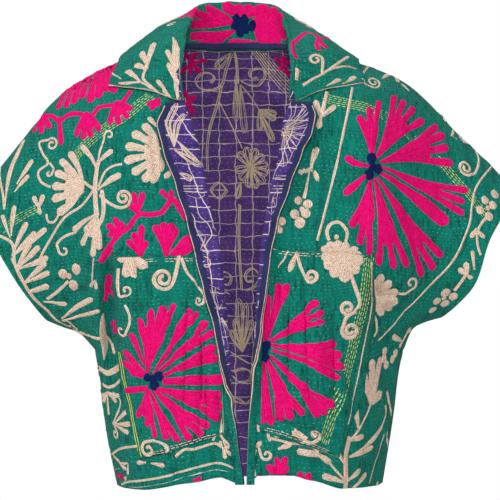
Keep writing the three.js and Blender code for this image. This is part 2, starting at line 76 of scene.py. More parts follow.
SHOULDER = {
    "left": [(90, 5), (134, -5), (177, -16), (228, -40), (267, -67), (307, -113), (354, -171), (394, -220)],
    "right": [(70, 5), (120, -8), (178, -23), (229, -45), (264, -73), (304, -116), (358, -168), (394, -206)],
}
CUFF = {
    "left": [(394, -220), (354, -284), (320, -341), (284, -393)],
    "right": [(394, -206), (351, -273), (328, -340), (286, -388)],
}
UNDERARM = {
    "left": [(284, -393), (262, -402), (238, -411), (216, -434)],
    "right": [(286, -388), (262, -395), (243, -406), (230, -435)],
}
SIDE = {
    "left": [(216, -434), (209, -476), (205, -515), (197, -567), (184, -630)],
    "right": [(230, -435), (223, -476), (218, -520), (211, -567), (201, -627)],
}
NECK_HOLLOW = [(-50, 17), (CENTRE, 21), (34, 17)]
NECKLINE = {
    "left": [(5, 90), (-20, 95), (-50, 97), (-84, 90)],
    "right": [(5, 70), (-20, 75), (-50, 77), (-84, 69)],
}
# Height, distance out of the fold, width turned out, degrees turned
LAPEL = {
    "left": [(-84, 85, 24, 180), (-115, 72, 50, 180), (-152, 61, 52, 180), (-202, 51, 44, 180),
             (-250, 40, 40, 180), (-300, 31, 37, 180), (-345, 27, 30, 180), (-400, 22, 20, 180),
             (-440, 19, 17, 170), (-475, 17, 16, 135), (-510, 16, 16, 60), (-545, 10, 16, 15),
             (-617, 1, 16, 0)],
    "right": [(-84, 64, 30, 180), (-103, 57, 44, 180), (-128, 51, 45, 180), (-152, 47, 36, 180),
              (-202, 36, 29, 180), (-250, 28, 20, 180), (-300, 22, 16, 180), (-345, 19, 16, 160),
              (-400, 15, 16, 140), (-440, 13, 16, 110), (-475, 11, 16, 60), (-545, 6, 16, 10),
              (-617, 4, 16, 0)],
}
FRONT_HEM = [(-184, -630), (-140, -628), (-78, -616), (-32, -607), (-3, -617), (5, -617), (22, -603),
             (60, -602), (95, -612), (137, -625), (201, -627)]
# Face, start x and height, end x and height, half width, depth
FOLDS = [
    ("front", -190, -285, -184, -520, 13, 11), ("front", -84, -400, -78, -640, 17, 6),
    ("front", -40, -520, -52, -650, 10, 6), ("front", -245, -420, -225, -240, 20, 8),
    ("front", -150, -70, -176, -270, 22, 5), ("front", 203, -520, 186, -330, 13, 11),
    ("front", 240, -425, 176, -330, 12, 7), ("front", 262, -410, 246, -230, 20, 8),
    ("front", 112, -90, 74, -280, 12, 5), ("front", 104, -480, 112, -650, 18, 6),
    ("back", -238, -420, -176, -220, 22, 10), ("back", 248, -415, 186, -214, 22, 10),
    ("back", -96, -300, -112, -650, 24, 9), ("back", 14, -360, 4, -650, 26, 7),
    ("back", 108, -280, 128, -650, 24, 9), ("back", -60, -60, 60, -66, 22, 5),
]
# Softer creases and puckers: face, start, end, half width, depth (a ridge where negative)
CREASES = [
    ("front", -190, -262, -184, -500, 10, 15), ("front", -199, -330, -193, -470, 6, 7.6),
    ("front", -104, -310, -96, -560, 9, 5.7), ("front", -66, -320, -72, -470, 6, 4.8),
    ("front", -56, -400, -64, -600, 8, 7.6), ("front", -34, -480, -30, -620, 5, 5.7),
    ("front", -128, -560, -40, -596, 6, -3.8), ("front", -150, -590, -60, -612, 5, 4.8),
    ("front", -120, -100, -86, -300, 8, 4.8), ("front", -96, -120, -68, -270, 6, 4.2),
    ("front", -210, -120, -236, -300, 10, 5.7), ("front", -300, -200, -240, -360, 11, 5.7),
    ("front", -270, -370, -200, -330, 8, 5.7), ("front", -286, -330, -180, -300, 7, -3.8),
    ("front", 96, -90, 70, -270, 6, 4.9), ("front", 112, -86, 96, -300, 6, -4.2),
    ("front", 128, -80, 108, -290, 7, 4.9), ("front", 146, -100, 126, -270, 8, 3.8),
    ("front", 80, -96, 52, -240, 5, 4.6), ("front", 214, -330, 150, -250, 8, 7.6),
    ("front", 224, -352, 180, -352, 6, 7.6), ("front", 236, -376, 190, -372, 6, 5.7),
    ("front", 186, -320, 176, -460, 8, 9.5), ("front", 206, -360, 196, -470, 6, 7.6),
    ("front", 262, -240, 300, -330, 10, 5.7), ("front", 60, -300, 70, -450, 8, 4.8),
    ("front", 100, -310, 106, -480, 9, -4.8), ("front", 46, -300, 52, -380, 6, 5.7),
    ("front", 30, -520, 160, -566, 6, 5.7), ("front", 40, -560, 150, -590, 6, -3.8),
    ("front", 150, -440, 146, -600, 9, 5.7), ("front", 74, -540, 80, -610, 7, 5.7),
    ("front", 92, -100, 78, -250, 4, 2.4), ("front", 104, -96, 88, -262, 4, 2.8),
    ("front", 120, -92, 100, -280, 4, 2.4), ("front", 134, -100, 116, -260, 4, 2.8),
    ("front", -62, -350, -58, -500, 4, 5), ("front", -78, -330, -84, -520, 4, 4.5),
    ("front", -50, -430, -52, -560, 3.5, 5), ("front", 60, -360, 62, -480, 4, 4.5),
    ("front", 84, -340, 90, -500, 4, 4), ("front", 124, -360, 126, -540, 4, 4.5),
    ("front", -150, -280, -146, -420, 4, 4), ("front", -134, -300, -128, -380, 3.5, 3.5),
    ("front", -40, -560, -38, -612, 4, 5), ("front", -96, -586, -94, -622, 4, 4),
    ("front", 44, -570, 46, -608, 4, 4.5), ("front", 176, -480, 170, -612, 5, 5),
    ("front", -186, -540, -176, -620, 5, 5), ("front", -130, -120, -112, -240, 4, 3.5),
    ("front", -160, -180, -150, -290, 4, 3.5), ("front", -320, -240, -262, -392, 6, 4),
    ("front", 324, -250, 290, -380, 6, 4), ("front", 206, -160, 250, -330, 6, 4),
    ("back", -190, -300, -184, -560, 9, 11.4), ("back", 196, -300, 190, -560, 9, 11.4),
    ("back", -140, -120, -160, -360, 12, 7.6), ("back", 140, -120, 160, -350, 12, 7.6),
    ("back", -230, -380, -120, -280, 9, 7.6), ("back", 236, -370, 130, -270, 9, 7.6),
    ("back", -60, -200, -66, -420, 14, 5.7), ("back", 56, -220, 60, -480, 13, 5.7),
    ("back", -40, -470, -30, -640, 10, 7.6), ("back", 66, -500, 74, -640, 10, 7.6),
    ("back", -150, -480, -152, -640, 10, 7.6), ("back", 160, -480, 158, -640, 10, 7.6),
    ("back", -30, -40, -120, -110, 9, 4.8), ("back", 24, -40, 110, -110, 9, 4.8),
    ("back", -290, -220, -240, -360, 12, 7.6), ("back", 290, -220, 250, -350, 12, 7.6),
]
FOLDS = FOLDS + CREASES
print("seam lines", sum(len(rows) for part in (SHOULDER, CUFF, UNDERARM, SIDE) for rows in part.values()))

# %% [markdown]
# ## From seam lines to a worn shape
#
# A worn jacket stands away from the plane of its seams: nothing at the seam, more the further in. A
# quarter of an ellipse from the shoulder line times another from the side seam gives that shape, and
# folds are troughs taken off it. It could be simulated, but a formula is exact and keeps the outline.

# %% Curves
def smooth(low, high, value):
    share = np.clip((value - low) / (high - low), 0, 1)
    return share * share * (3 - 2 * share)


def mix(a, b, share):
    return a + (b - a) * share


def crown(share):
    return np.sqrt(1 - (1 - np.clip(share, 0, 1)) ** 2)


def smooth_line(points, side=1, fine=8):
    """A smooth line through the points, fine steps to each stretch."""
    p = np.array([(side * x, y) for x, y in points], float)
    out = []
    for i in range(len(p) - 1):
        before, after = p[max(i - 1, 0)], p[min(i + 2, len(p) - 1)]
        start, end = (p[i + 1] - before) / 2, (after - p[i]) / 2
        for t in np.arange(fine) / fine:
            out.append((2 * p[i] - 2 * p[i + 1] + start + end) * t ** 3
                       + (-3 * p[i] + 3 * p[i + 1] - 2 * start - end) * t ** 2 + start * t + p[i])
    return np.array(out + [p[-1]])


def along(line, share):
    lengths = np.concatenate([[0], np.cumsum(np.hypot(*np.diff(line, axis=0).T))])
    at = np.asarray(share) * lengths[-1]
    return np.stack([np.interp(at, lengths, line[:, k]) for k in range(line.shape[1])], -1)


def distance(line, x, up):
    nearest = np.full(np.shape(x), np.inf)
    for a, b in zip(line[:-1], line[1:]):
        d = b - a
        share = np.clip(((x - a[0]) * d[0] + (up - a[1]) * d[1]) / (d @ d), 0, 1)
        nearest = np.minimum(nearest, (x - a[0] - share * d[0]) ** 2 + (up - a[1] - share * d[1]) ** 2)
    return np.sqrt(nearest)


def at_level(keys, values, where):
    keys, values, where = np.array(keys, float), np.array(values, float), np.asarray(where, float)
    if keys[0] > keys[-1]:
        keys, where = -keys, -where
    i = np.clip(np.searchsorted(keys, where), 1, len(keys) - 1)
    t = np.clip((where - keys[i - 1]) / (keys[i] - keys[i - 1]), 0, 1)
    return mix(values[i - 1], values[i], 0.5 * t + 0.5 * t * t * (3 - 2 * t))


shoulder = {name: smooth_line(SHOULDER[name], side) for name, side in SIDES.items()}
cuff = {name: smooth_line(CUFF[name], side) for name, side in SIDES.items()}
underarm = {name: smooth_line(UNDERARM[name], side) for name, side in SIDES.items()}
side_seam = {name: smooth_line(SIDE[name], side) for name, side in SIDES.items()}
top_line = np.vstack([shoulder["left"][::-1], NECK_HOLLOW, shoulder["right"]])
closed_seam = {name: np.vstack([underarm[name], side_seam[name][1:]]) for name in SIDES}


# %% Depth of the worn cloth
def fold_depth(face, x, up):
    depth = np.zeros(np.shape(x))
    for where, x1, up1, x2, up2, width, deep in FOLDS:
        if where != face:
            continue
        dx, dup = x2 - x1, up2 - up1
        length = math.hypot(dx, dup)
        share = np.clip(((x - x1) * dx + (up - up1) * dup) / length ** 2, 0, 1)
        off = ((x - x1) * dup - (up - up1) * dx) / length
        depth += deep * np.sqrt(4 * share * (1 - share)) * np.exp(-(off / width) ** 2)
    return depth


def depth_at(face, x, up, folds=1.0):
    x, up = np.broadcast_arrays(np.asarray(x, float), np.asarray(up, float))
    to_seam = np.where(x < CENTRE, distance(closed_seam["left"], x, up),
                       distance(closed_seam["right"], x, up))
    full = mix(BODY_DEPTH[face], SLEEVE_DEPTH, smooth(BODY_HALF, SLEEVE_START, np.abs(x)))
    base = full * crown(distance(top_line, x, up) / SHOULDER_ROUND) * crown(to_seam / SIDE_ROUND)
    return np.maximum(SEAM_HALF, base - folds * fold_depth(face, x, up) * np.clip(base / 60, 0, 1))


print("chest depth", depth_at("front", np.array([0.0]), np.array([-300.0])).round(1))

# %% [markdown]
# ## Flat cloth lengths
#
# Stitches and weave keep their size where the cloth turns away at the sides, so they need lengths
# measured on the cloth, not as seen from the front. Adding up short chords across and down gives two
# such lengths for every place. They serve as the UV map, in millimetres, and for placing embroidery.

# %% Flat lengths
STEP = 4.0
GRID_X = np.arange(-400, 401, STEP)
GRID_UP = np.arange(-664, 25, STEP)


def chart(face):
    x, up = np.meshgrid(GRID_X, GRID_UP, indexing="ij")
    depth = depth_at(face, x, up, 0)
    across = np.concatenate([np.zeros((1, x.shape[1])),
                             np.cumsum(np.hypot(np.diff(depth, axis=0), STEP), 0)])
    down = np.concatenate([np.zeros((x.shape[0], 1)), np.cumsum(np.hypot(np.diff(depth, axis=1), STEP), 1)],
                          1)
    middle, level = int(400 / STEP), int((664 - 300) / STEP)
    return across - across[middle:middle + 1], down - down[:, level:level + 1]


charts = {face: chart(face) for face in ("front", "back")}


def lookup(grid, x, up):
    i = np.clip((x - GRID_X[0]) / STEP, 0, len(GRID_X) - 1.001)
    j = np.clip((up - GRID_UP[0]) / STEP, 0, len(GRID_UP) - 1.001)
    i0, j0 = i.astype(int), j.astype(int)
    fi, fj = i - i0, j - j0
    low = grid[i0, j0] * (1 - fi) + grid[i0 + 1, j0] * fi
    high = grid[i0, j0 + 1] * (1 - fi) + grid[i0 + 1, j0 + 1] * fi
    return low * (1 - fj) + high * fj


def to_flat(face, x, up):
    return lookup(charts[face][0], x, up), lookup(charts[face][1], x, up)


def from_flat(face, u, v):
    """The place seen from the front that has these lengths on the cloth."""
    x, up = np.array(u, float), np.array(v, float) - 300
    for _ in range(14):
        got_u, got_v = to_flat(face, x, up)
        x = np.clip(x + 0.6 * (u - got_u), GRID_X[0], GRID_X[-1])
        up = np.clip(up + 0.6 * (v - got_v), GRID_UP[0], GRID_UP[-1])
    return x, up


print("sleeve length over the arm", round(float(to_flat("front", np.array([-394.0]),
                                                        np.array([-220.0]))[0][0])))

# %% [markdown]
# ## Puckers
#
# Running stitch pulls the layers together, so kantha cloth is never smooth: small ripples lie between
# the rows and wider ones drift over the panel. Random values on a coarse grid, eased between the grid
# points, give soft uneven ripples, and the same numbers come out on every run. A brick or wave texture
# would be too regular.

# %% Puckers in the cloth
def noise(u, v, cell_u, cell_v, seed):
    values = np.random.default_rng(seed).random((61, 67)) * 2 - 1
    i, j = np.floor(u / cell_u).astype(int), np.floor(v / cell_v).astype(int)
    fi, fj = u / cell_u - i, v / cell_v - j
    fi, fj = fi * fi * (3 - 2 * fi), fj * fj * (3 - 2 * fj)
    at = lambda a, b: values[a % 61, b % 67]
    return mix(mix(at(i, j), at(i + 1, j), fi), mix(at(i, j + 1), at(i + 1, j + 1), fi), fj)


def puckers(u, v, seed=0):
    warped = v + 5 * noise(u, v, 60, 50, seed + 5)
    return (0.55 * noise(u, warped, 5.2, 19, seed + 1) + 0.45 * noise(u, warped, 10, 8.5, seed + 2)
            + 1.1 * noise(u, v, 14, 38, seed + 3) + 1.9 * noise(u, v, 40, 70, seed + 4))


def unit(vectors):
    return vectors / np.maximum(np.linalg.norm(vectors, axis=-1, keepdims=True), 1e-9)


def on_panel(face, x, up, lift=0.0, seed=0):
    """A point on the worn cloth and the way it faces, lifted off it by some millimetres."""
    sign = -1 if face == "front" else 1
    depth, tiny = depth_at(face, x, up), 0.6
    slope_x = (depth_at(face, x + tiny, up) - depth_at(face, x - tiny, up)) / (2 * tiny)
    slope_up = (depth_at(face, x, up + tiny) - depth_at(face, x, up - tiny)) / (2 * tiny)
    facing = unit(np.stack([-slope_x, np.full(np.shape(x), float(sign)), -slope_up], -1))
    u, v = to_flat(face, x, up)
    near_seam = smooth(0, 14, depth)
    rise = lift + puckers(u, v, seed) * near_seam
    return np.stack([x, sign * depth, up], -1) + facing * rise[..., None], facing


print("puckers from", puckers(*np.meshgrid(np.arange(200.0), np.arange(200.0))).min().round(2))

# %% [markdown]
# ## Rows and columns of a panel
#
# Each panel is a grid whose rows end on the cuff, the underarm and the side seam, and whose top row is
# the shoulder seam. Cutting cloth works the same way: the seam lines decide and the middle follows. The
# grid is seven times finer than the solid, so that it can carry the puckers.

# %% Grid of a panel
FINER = 7
ROWS = np.arange(HEM_ROWS * FINER + 1) / FINER


def outer_ends(name, rows):
    slope = (1 - np.cos(np.pi * np.clip(rows / SLEEVE_ROWS, 0, 1))) / 2
    under = np.clip((rows - SLEEVE_ROWS) / (UNDERARM_ROWS - SLEEVE_ROWS), 0, 1)
    down = np.clip((rows - UNDERARM_ROWS) / (HEM_ROWS - UNDERARM_ROWS), 0, 1)
    ends = np.where((rows <= SLEEVE_ROWS)[:, None], along(cuff[name], slope), along(underarm[name], under))
    return np.where((rows > UNDERARM_ROWS)[:, None], along(side_seam[name], down), ends)


def inner_levels(rows, top, hem):
    neck = COLLAR_POINT_LEVEL + (top - COLLAR_POINT_LEVEL) * np.cos(np.pi / 2 * np.clip(rows / COLLAR_ROWS,
                                                                                        0, 1))
    below = np.interp(rows, [COLLAR_ROWS, SLEEVE_ROWS, UNDERARM_ROWS, HEM_ROWS],
                      [COLLAR_POINT_LEVEL, -335, -408, hem])
    return np.where(rows <= COLLAR_ROWS, neck, below)


def column_shares(columns, count):
    return mix(columns / count, np.sin(np.pi / 2 * columns / count), 0.88)


def panel_places(name, rows, shares, inner, top):
    """Where the rows and columns lie seen from the front. The bend of the shoulder line fades downwards."""
    outer = outer_ends(name, rows)
    bend = (np.cos(np.pi / 2 * np.clip(rows / SLEEVE_ROWS, 0, 1)) ** 2)[:, None, None]
    straight = mix(inner[:, None], outer[:, None], shares[None, :, None])
    over = top - mix(top[0], top[-1], shares[:, None])
    return straight + bend * over[None]


def facing_of(points, flip):
    across, down = np.gradient(points, axis=1), np.gradient(points, axis=0)
    return unit(np.cross(across, down) * flip)


def neckline_out(name, level):
    rows = NECKLINE[name]
    return at_level([r[0] for r in rows], [r[1] for r in rows], level)


def lapel_at(name, level):
    rows = LAPEL[name]
    fold, turn, angle = (at_level([r[0] for r in rows], [r[k] for r in rows], level) for k in (1, 2, 3))
    flat, turned = turn - ROLL_RADIUS - QUILT, np.radians(angle)
    reach = np.where(angle > 90, ROLL_RADIUS + QUILT,
                     (ROLL_RADIUS + QUILT) * np.sin(turned) + flat * np.cos(turned))
    return fold + reach, flat, turned


ARC_STEPS, FLAT_STEPS = 6, 14


def turned_edge(name, level):
    """The rolled front edge from its free edge back to the panel, and the cloth length from the roll."""
    side = SIDES[name]
    start, flat, turned = lapel_at(name, level)
    root_x, root_y = side * start, -depth_at("front", side * start, level)
    arc = np.linspace(0, 1, ARC_STEPS + 1)[1:, None] * turned
    inwards = [ROLL_RADIUS * np.sin(arc)]
    forwards = [ROLL_RADIUS * (1 - np.cos(arc))]
    length = [ROLL_RADIUS * arc]
    far = np.linspace(0, 1, FLAT_STEPS + 1)[1:, None] * flat
    inwards.append(inwards[0][-1] + far * np.cos(turned))
    forwards.append(forwards[0][-1] + far * np.sin(turned))
    length.append(length[0][-1] + far)
    inwards, forwards, length = (np.concatenate(part)[::-1].T for part in (inwards, forwards, length))
    x = root_x[:, None] - side * inwards
    up = np.repeat(level[:, None], x.shape[1], 1)
    follow = (depth_at("front", x, up, 0) + root_y[:, None]) * (turned / np.pi)[:, None]
    y = root_y[:, None] - forwards - np.where(inwards < 0, follow, 0)
    return np.stack([x, y, up], -1), length, root_x


# %% [markdown]
# ## A cloth shell
#
# Every panel is two faces with a rim between, because the inside of this jacket shows as much as its
# outside. One mesh with three material slots does it: outside cloth, inside cloth and cut edge. A
# Solidify modifier would also work, but then the inside could not have its own puckers.

# %% Shell from a grid
def mesh_object(name, vertices, faces, uv, materials, slots=None, smooth_faces=True):
    mesh = bpy.data.meshes.new(name)
    mesh.from_pydata((np.asarray(vertices) * MM).tolist(), [], faces)
    for material in materials:
        mesh.materials.append(material)
    loops = np.empty(len(mesh.loops), int)
    mesh.loops.foreach_get("vertex_index", loops)
    layer = mesh.uv_layers.new(name="Cloth")
    layer.data.foreach_set("uv", np.asarray(uv, float)[loops].ravel())
    if slots is not None:
        mesh.polygons.foreach_set("material_index", np.asarray(slots, int))
    mesh.polygons.foreach_set("use_smooth", np.full(len(mesh.polygons), smooth_faces))
    mesh.update()
    thing = bpy.data.objects.new(name, mesh)
    bpy.context.scene.collection.objects.link(thing)
    return thing


def shell(name, points, facing, thickness, uv, materials, flip, present=None, inside=None):
    """Outside grid, inside grid and rim. Points that aren't present leave their squares out."""
    rows, columns = points.shape[:2]
    present = np.ones((rows, columns), bool) if present is None else present
    inner = points - facing * thickness if inside is None else inside
    index = np.arange(rows * columns).reshape(rows, columns)
    whole = present[:-1, :-1] & present[1:, :-1] & present[:-1, 1:] & present[1:, 1:]
    corners = np.stack([index[:-1, :-1], index[:-1, 1:], index[1:, 1:], index[1:, :-1]], -1)[whole]
    corners = corners if flip > 0 else corners[:, ::-1]
    edges = np.stack([corners, np.roll(corners, -1, 1)], -1).reshape(-1, 2)
    keys, counts = np.unique(np.sort(edges, 1), axis=0, return_counts=True)
    single = {tuple(k) for k in keys[counts == 1]}
    rim = np.array([e for e in edges if tuple(sorted(e)) in single])
    shift = rows * columns
    outside_faces = corners.tolist()
    inside_faces = (corners[:, ::-1] + shift).tolist()
    rim_faces = np.stack([rim[:, 1], rim[:, 0], rim[:, 0] + shift, rim[:, 1] + shift], -1).tolist()
    slots = [0] * len(outside_faces) + [1] * len(inside_faces) + [2] * len(rim_faces)
    vertices = np.concatenate([points.reshape(-1, 3), inner.reshape(-1, 3)])
    both = np.concatenate([uv.reshape(-1, 2), uv.reshape(-1, 2)])
    return mesh_object(name, vertices, outside_faces + inside_faces + rim_faces, both, materials, slots)


def ripple(points, facing, uv, seed, hold):
    """Moves the cloth along its facing by the puckers, less near a sewn edge."""
    return points + facing * (puckers(uv[..., 0], uv[..., 1], seed) * hold)[..., None]

# %% [markdown]
# ## Cloth finishes
#
# The cloth is thin cotton, dull and a little fuzzy, so every finish is rough with some sheen. Two small
# effects are shared by all of them as node groups: a plain weave with wrinkles for the bump, and rows of
# short stitches. Groups keep one effect in one place, and each material only sets its own sizes.

# %% Shared effects
def new_group(name, inputs, outputs):
    group = bpy.data.node_groups.new(name, "ShaderNodeTree")
    for label, kind, value in inputs:
        socket = group.interface.new_socket(label, in_out="INPUT", socket_type=kind)
        if value is not None:
            socket.default_value = value
    for label, kind in outputs:
        group.interface.new_socket(label, in_out="OUTPUT", socket_type=kind)
    return group, group.nodes.new("NodeGroupInput"), group.nodes.new("NodeGroupOutput")


FLOAT, VECTOR = "NodeSocketFloat", "NodeSocketVector"


class Wires:
    """Adds nodes to a tree with their inputs set or linked in one call."""

    def __init__(self, tree):
        self.tree = tree

    def add(self, kind, *values, **settings):
        node = self.tree.nodes.new(kind)
        for key, value in settings.items():
            setattr(node, key, value)
        for socket, value in zip(node.inputs, values):
            self.put(socket, value)
        return node

    def put(self, socket, value):
        if isinstance(value, bpy.types.NodeSocket):
            self.tree.links.new(value, socket)
        elif value is not None:
            socket.default_value = value

    def math(self, operation, *values):
        return self.add("ShaderNodeMath", *values, operation=operation).outputs[0]

    def mul(self, a, b):
        return self.math("MULTIPLY", a, b)

    def plus(self, a, b):
        return self.math("ADD", a, b)

    def less(self, a, b):
        return self.math("SUBTRACT", a, b)

    def over(self, a, b):
        return self.math("DIVIDE", a, b)

    def mix(self, share, a, b):
        node = self.tree.nodes.new("ShaderNodeMix")
        node.data_type = "RGBA"
        self.put(node.inputs["Factor"], share)
        self.put(node.inputs["A"], a)
        self.put(node.inputs["B"], b)
        return node.outputs["Result"]

    def map(self, value, low, high, out_low=0.0, out_high=1.0):
        node = self.tree.nodes.new("ShaderNodeMapRange")
        for socket, item in zip(node.inputs, (value, low, high, out_low, out_high)):
            self.put(socket, item)
        return node.outputs[0]

    def noise(self, vector, scale, detail=2.0, rough=0.5):
        node = self.tree.nodes.new("ShaderNodeTexNoise")
        self.put(node.inputs["Vector"], vector)
        self.put(node.inputs["Scale"], scale)
        self.put(node.inputs["Detail"], detail)
        self.put(node.inputs["Roughness"], rough)
        return node.outputs["Fac"]


def stitch_group():
    """Rows of short stitches along U. The rows drift a little, and no stitch lies quite like the next."""
    group, given, result = new_group("Stitch rows", [
        ("Cloth", VECTOR, None), ("Row", FLOAT, 6.5), ("Pitch", FLOAT, 8.0),
        ("Share", FLOAT, 0.34), ("Width", FLOAT, 0.9), ("Drift", FLOAT, 2.5),
    ], [("Mask", FLOAT), ("Height", FLOAT)])
    w = Wires(group)
    split = w.add("ShaderNodeSeparateXYZ", given.outputs["Cloth"])
    wander = w.noise(given.outputs["Cloth"], 0.022, 1.0)
    drift = w.mul(w.less(wander, 0.5), w.mul(given.outputs["Drift"], 6.0))
    v = w.over(w.plus(split.outputs["Y"], drift), given.outputs["Row"])
    row = w.math("FLOOR", v)
    off = w.mul(w.math("ABSOLUTE", w.less(w.math("FRACT", v), 0.5)), given.outputs["Row"])
    jitter = w.add("ShaderNodeTexWhiteNoise", None, row, noise_dimensions="1D").outputs["Value"]
    u = w.plus(w.over(split.outputs["X"], given.outputs["Pitch"]), w.mul(jitter, 7.0))
    cell = w.add("ShaderNodeCombineXYZ", w.math("FLOOR", u), row).outputs[0]
    odd = w.add("ShaderNodeTexWhiteNoise", cell, noise_dimensions="2D").outputs["Value"]
    share = w.mul(given.outputs["Share"], w.map(odd, 0.0, 1.0, 0.7, 1.25))
    inside = w.math("LESS_THAN", w.math("FRACT", u), share)
    across = w.map(off, w.mul(given.outputs["Width"], 0.35),
                   w.mul(given.outputs["Width"], 0.6), 1.0, 0.0)
    mask = w.mul(inside, across)
    trough = w.map(off, 0.0, w.mul(given.outputs["Row"], 0.5), 0.0, 1.0)
    w.put(result.inputs["Mask"], mask)
    w.put(result.inputs["Height"], w.plus(w.mul(trough, 0.55), w.mul(mask, 0.35)))
    return group


def cotton_group():
    """Fine plain weave and small wrinkles, in millimetres of height, and a mask of painted shade in the
    ripple troughs.
    """
    group, given, result = new_group("Cotton", [
        ("Cloth", VECTOR, None), ("Thread", FLOAT, 0.6), ("Wrinkle", FLOAT, 0.5),
        ("Ripple", FLOAT, 2.8),
    ], [("Height", FLOAT), ("Wear", FLOAT), ("Painted trough shade", FLOAT)])
    w = Wires(group)
    drawn = w.add("ShaderNodeVectorMath", given.outputs["Cloth"], (0.27, 0.055, 1.0),
                  operation="MULTIPLY").outputs[0]
    ripple = w.noise(drawn, 1.0, 2.0, 0.6)
    tight = w.map(w.noise(given.outputs["Cloth"], 0.013, 2.0), 0.4, 0.62, 0.45, 1.0)
    relief = w.mul(w.mul(ripple, given.outputs["Ripple"]), tight)
    # Painted shade: a mask that darkens the cloth colour in the troughs of the ripples.
    w.put(result.inputs["Painted trough shade"], w.mul(w.map(ripple, 0.36, 0.52, 1.0, 0.0), tight))
    split = w.add("ShaderNodeSeparateXYZ", given.outputs["Cloth"])
    turn = w.over(6.2832, given.outputs["Thread"])
    weave = w.mul(w.math("SINE", w.mul(split.outputs["X"], turn)),
                   w.math("SINE", w.mul(split.outputs["Y"], turn)))
    fine = w.noise(given.outputs["Cloth"], 0.23, 3.0, 0.55)
    broad = w.noise(given.outputs["Cloth"], 0.07, 2.0, 0.5)
    wrinkle = w.mul(w.plus(fine, w.mul(broad, 1.4)), given.outputs["Wrinkle"])
    height = w.plus(w.plus(wrinkle, relief), w.mul(weave, 0.03))
    w.put(result.inputs["Height"], height)
    w.put(result.inputs["Wear"], w.noise(given.outputs["Cloth"], 0.035, 4.0, 0.65))
    return group


STITCHES = stitch_group()
COTTON = cotton_group()


def srgb(code):
    channels = [int(code[i:i + 2], 16) / 255 for i in (0, 2, 4)]
    return tuple(c / 12.92 if c <= 0.04045 else ((c + 0.055) / 1.055) ** 2.4 for c in channels) + (1.0,)


def start_material(name, roughness=0.88, sheen=0.25, tint="FFFFFF"):
    material = bpy.data.materials.new(name)
    material.use_nodes = True
    shader = material.node_tree.nodes["Principled BSDF"]
    shader.inputs["Roughness"].default_value = roughness
    shader.inputs["Specular IOR Level"].default_value = 0.12
    shader.inputs["Sheen Weight"].default_value = sheen
    shader.inputs["Sheen Roughness"].default_value = 0.5
    shader.inputs["Sheen Tint"].default_value = srgb(tint)
    wires = Wires(material.node_tree)
    cloth = wires.add("ShaderNodeUVMap", uv_map="Cloth").outputs[0]
    return material, shader, wires, cloth


def bump(wires, shader, height, strength=1.0, distance=0.001):
    node = wires.tree.nodes.new("ShaderNodeBump")
    node.inputs["Strength"].default_value = strength
    node.inputs["Distance"].default_value = distance
    wires.put(node.inputs["Height"], height)
    wires.put(shader.inputs["Normal"], node.outputs[0])


def group_node(wires, group, cloth, **values):
    node = wires.tree.nodes.new("ShaderNodeGroup")
    node.node_tree = group
    wires.put(node.inputs["Cloth"], cloth)
    for key, value in values.items():
        wires.put(node.inputs[key], value)
    return node


# %% Outside cloth
def outside_cloth(name, colour="006F60", shade="002F2B", light="057E6C"):
    material, shader, w, cloth = start_material(name, 0.9, 0.04, "BFEFE4")
    cotton = group_node(w, COTTON, cloth, Wrinkle=1.3)
    rows = group_node(w, STITCHES, cloth, Row=5.6, Pitch=7.0, Share=0.36, Width=0.5, Drift=3.5)
    ground = w.mix(w.map(cotton.outputs["Wear"], 0.5, 0.85, 0.0, 0.7), srgb(colour), srgb(light))
    ground = w.mix(w.map(cotton.outputs["Wear"], 0.25, 0.45, 0.3, 0.0), ground, srgb(shade))
    # Painted shade: the cloth colour darkens towards the shade colour in the ripple troughs.
    ground = w.mix(w.mul(cotton.outputs["Painted trough shade"], 0.72), ground, srgb(shade))
    shown = w.map(w.noise(cloth, 0.045, 2.0), 0.42, 0.65, 0.08, 0.55)
    w.put(shader.inputs["Base Color"], w.mix(w.mul(rows.outputs["Mask"], shown), ground, srgb("C4DCC8")))
    bump(w, shader, w.plus(cotton.outputs["Height"], rows.outputs["Height"]), 1.0, 0.0014)
    return material


def inside_cloth(name, colour="4E3680", shade="30225C"):
    """Purple with a wobbly pale check, dotted with the backs of the quilting stitches."""
    material, shader, w, cloth = start_material(name, 0.9, 0.05, "C8B8E8")
    cotton = group_node(w, COTTON, cloth, Wrinkle=1.0)
    rows = group_node(w, STITCHES, cloth, Share=0.16, Width=0.7)
    split = w.add("ShaderNodeSeparateXYZ", cloth)
    wobble = w.mul(w.less(w.noise(cloth, 0.05, 2.0), 0.5), 9.0)
    lines = []
    for axis, size, width in (("X", 25.0, 0.62), ("Y", 20.0, 0.55)):
        place = w.plus(split.outputs[axis], wobble)
        off = w.math("ABSOLUTE", w.less(w.math("FRACT", w.over(place, size)), 0.5))
        lines.append(w.map(w.mul(off, size), width * 0.7, width * 1.5, 1.0, 0.0))
    check = w.math("MAXIMUM", *lines)
    ground = w.mix(w.map(cotton.outputs["Wear"], 0.35, 0.7), srgb(shade), srgb(colour))
    worn = w.map(cotton.outputs["Wear"], 0.3, 0.6, 0.35, 0.8)
    ground = w.mix(w.mul(check, worn), ground, srgb("EADCC8"))
    shown = w.mul(rows.outputs["Mask"], 0.7)
    w.put(shader.inputs["Base Color"], w.mix(shown, ground, srgb("C9C0D2")))
    bump(w, shader, w.plus(cotton.outputs["Height"], rows.outputs["Height"]))
    return material


# %% Tape and thread
def plain_cloth(name, colour, shade, wrinkle=0.5, rough=0.9):
    material, shader, w, cloth = start_material(name, rough, 0.05)
    cotton = group_node(w, COTTON, cloth, Wrinkle=wrinkle)
    w.put(shader.inputs["Base Color"], w.mix(w.map(cotton.outputs["Wear"], 0.3, 0.7), srgb(shade),
                                             srgb(colour)))
    bump(w, shader, cotton.outputs["Height"])
    return material


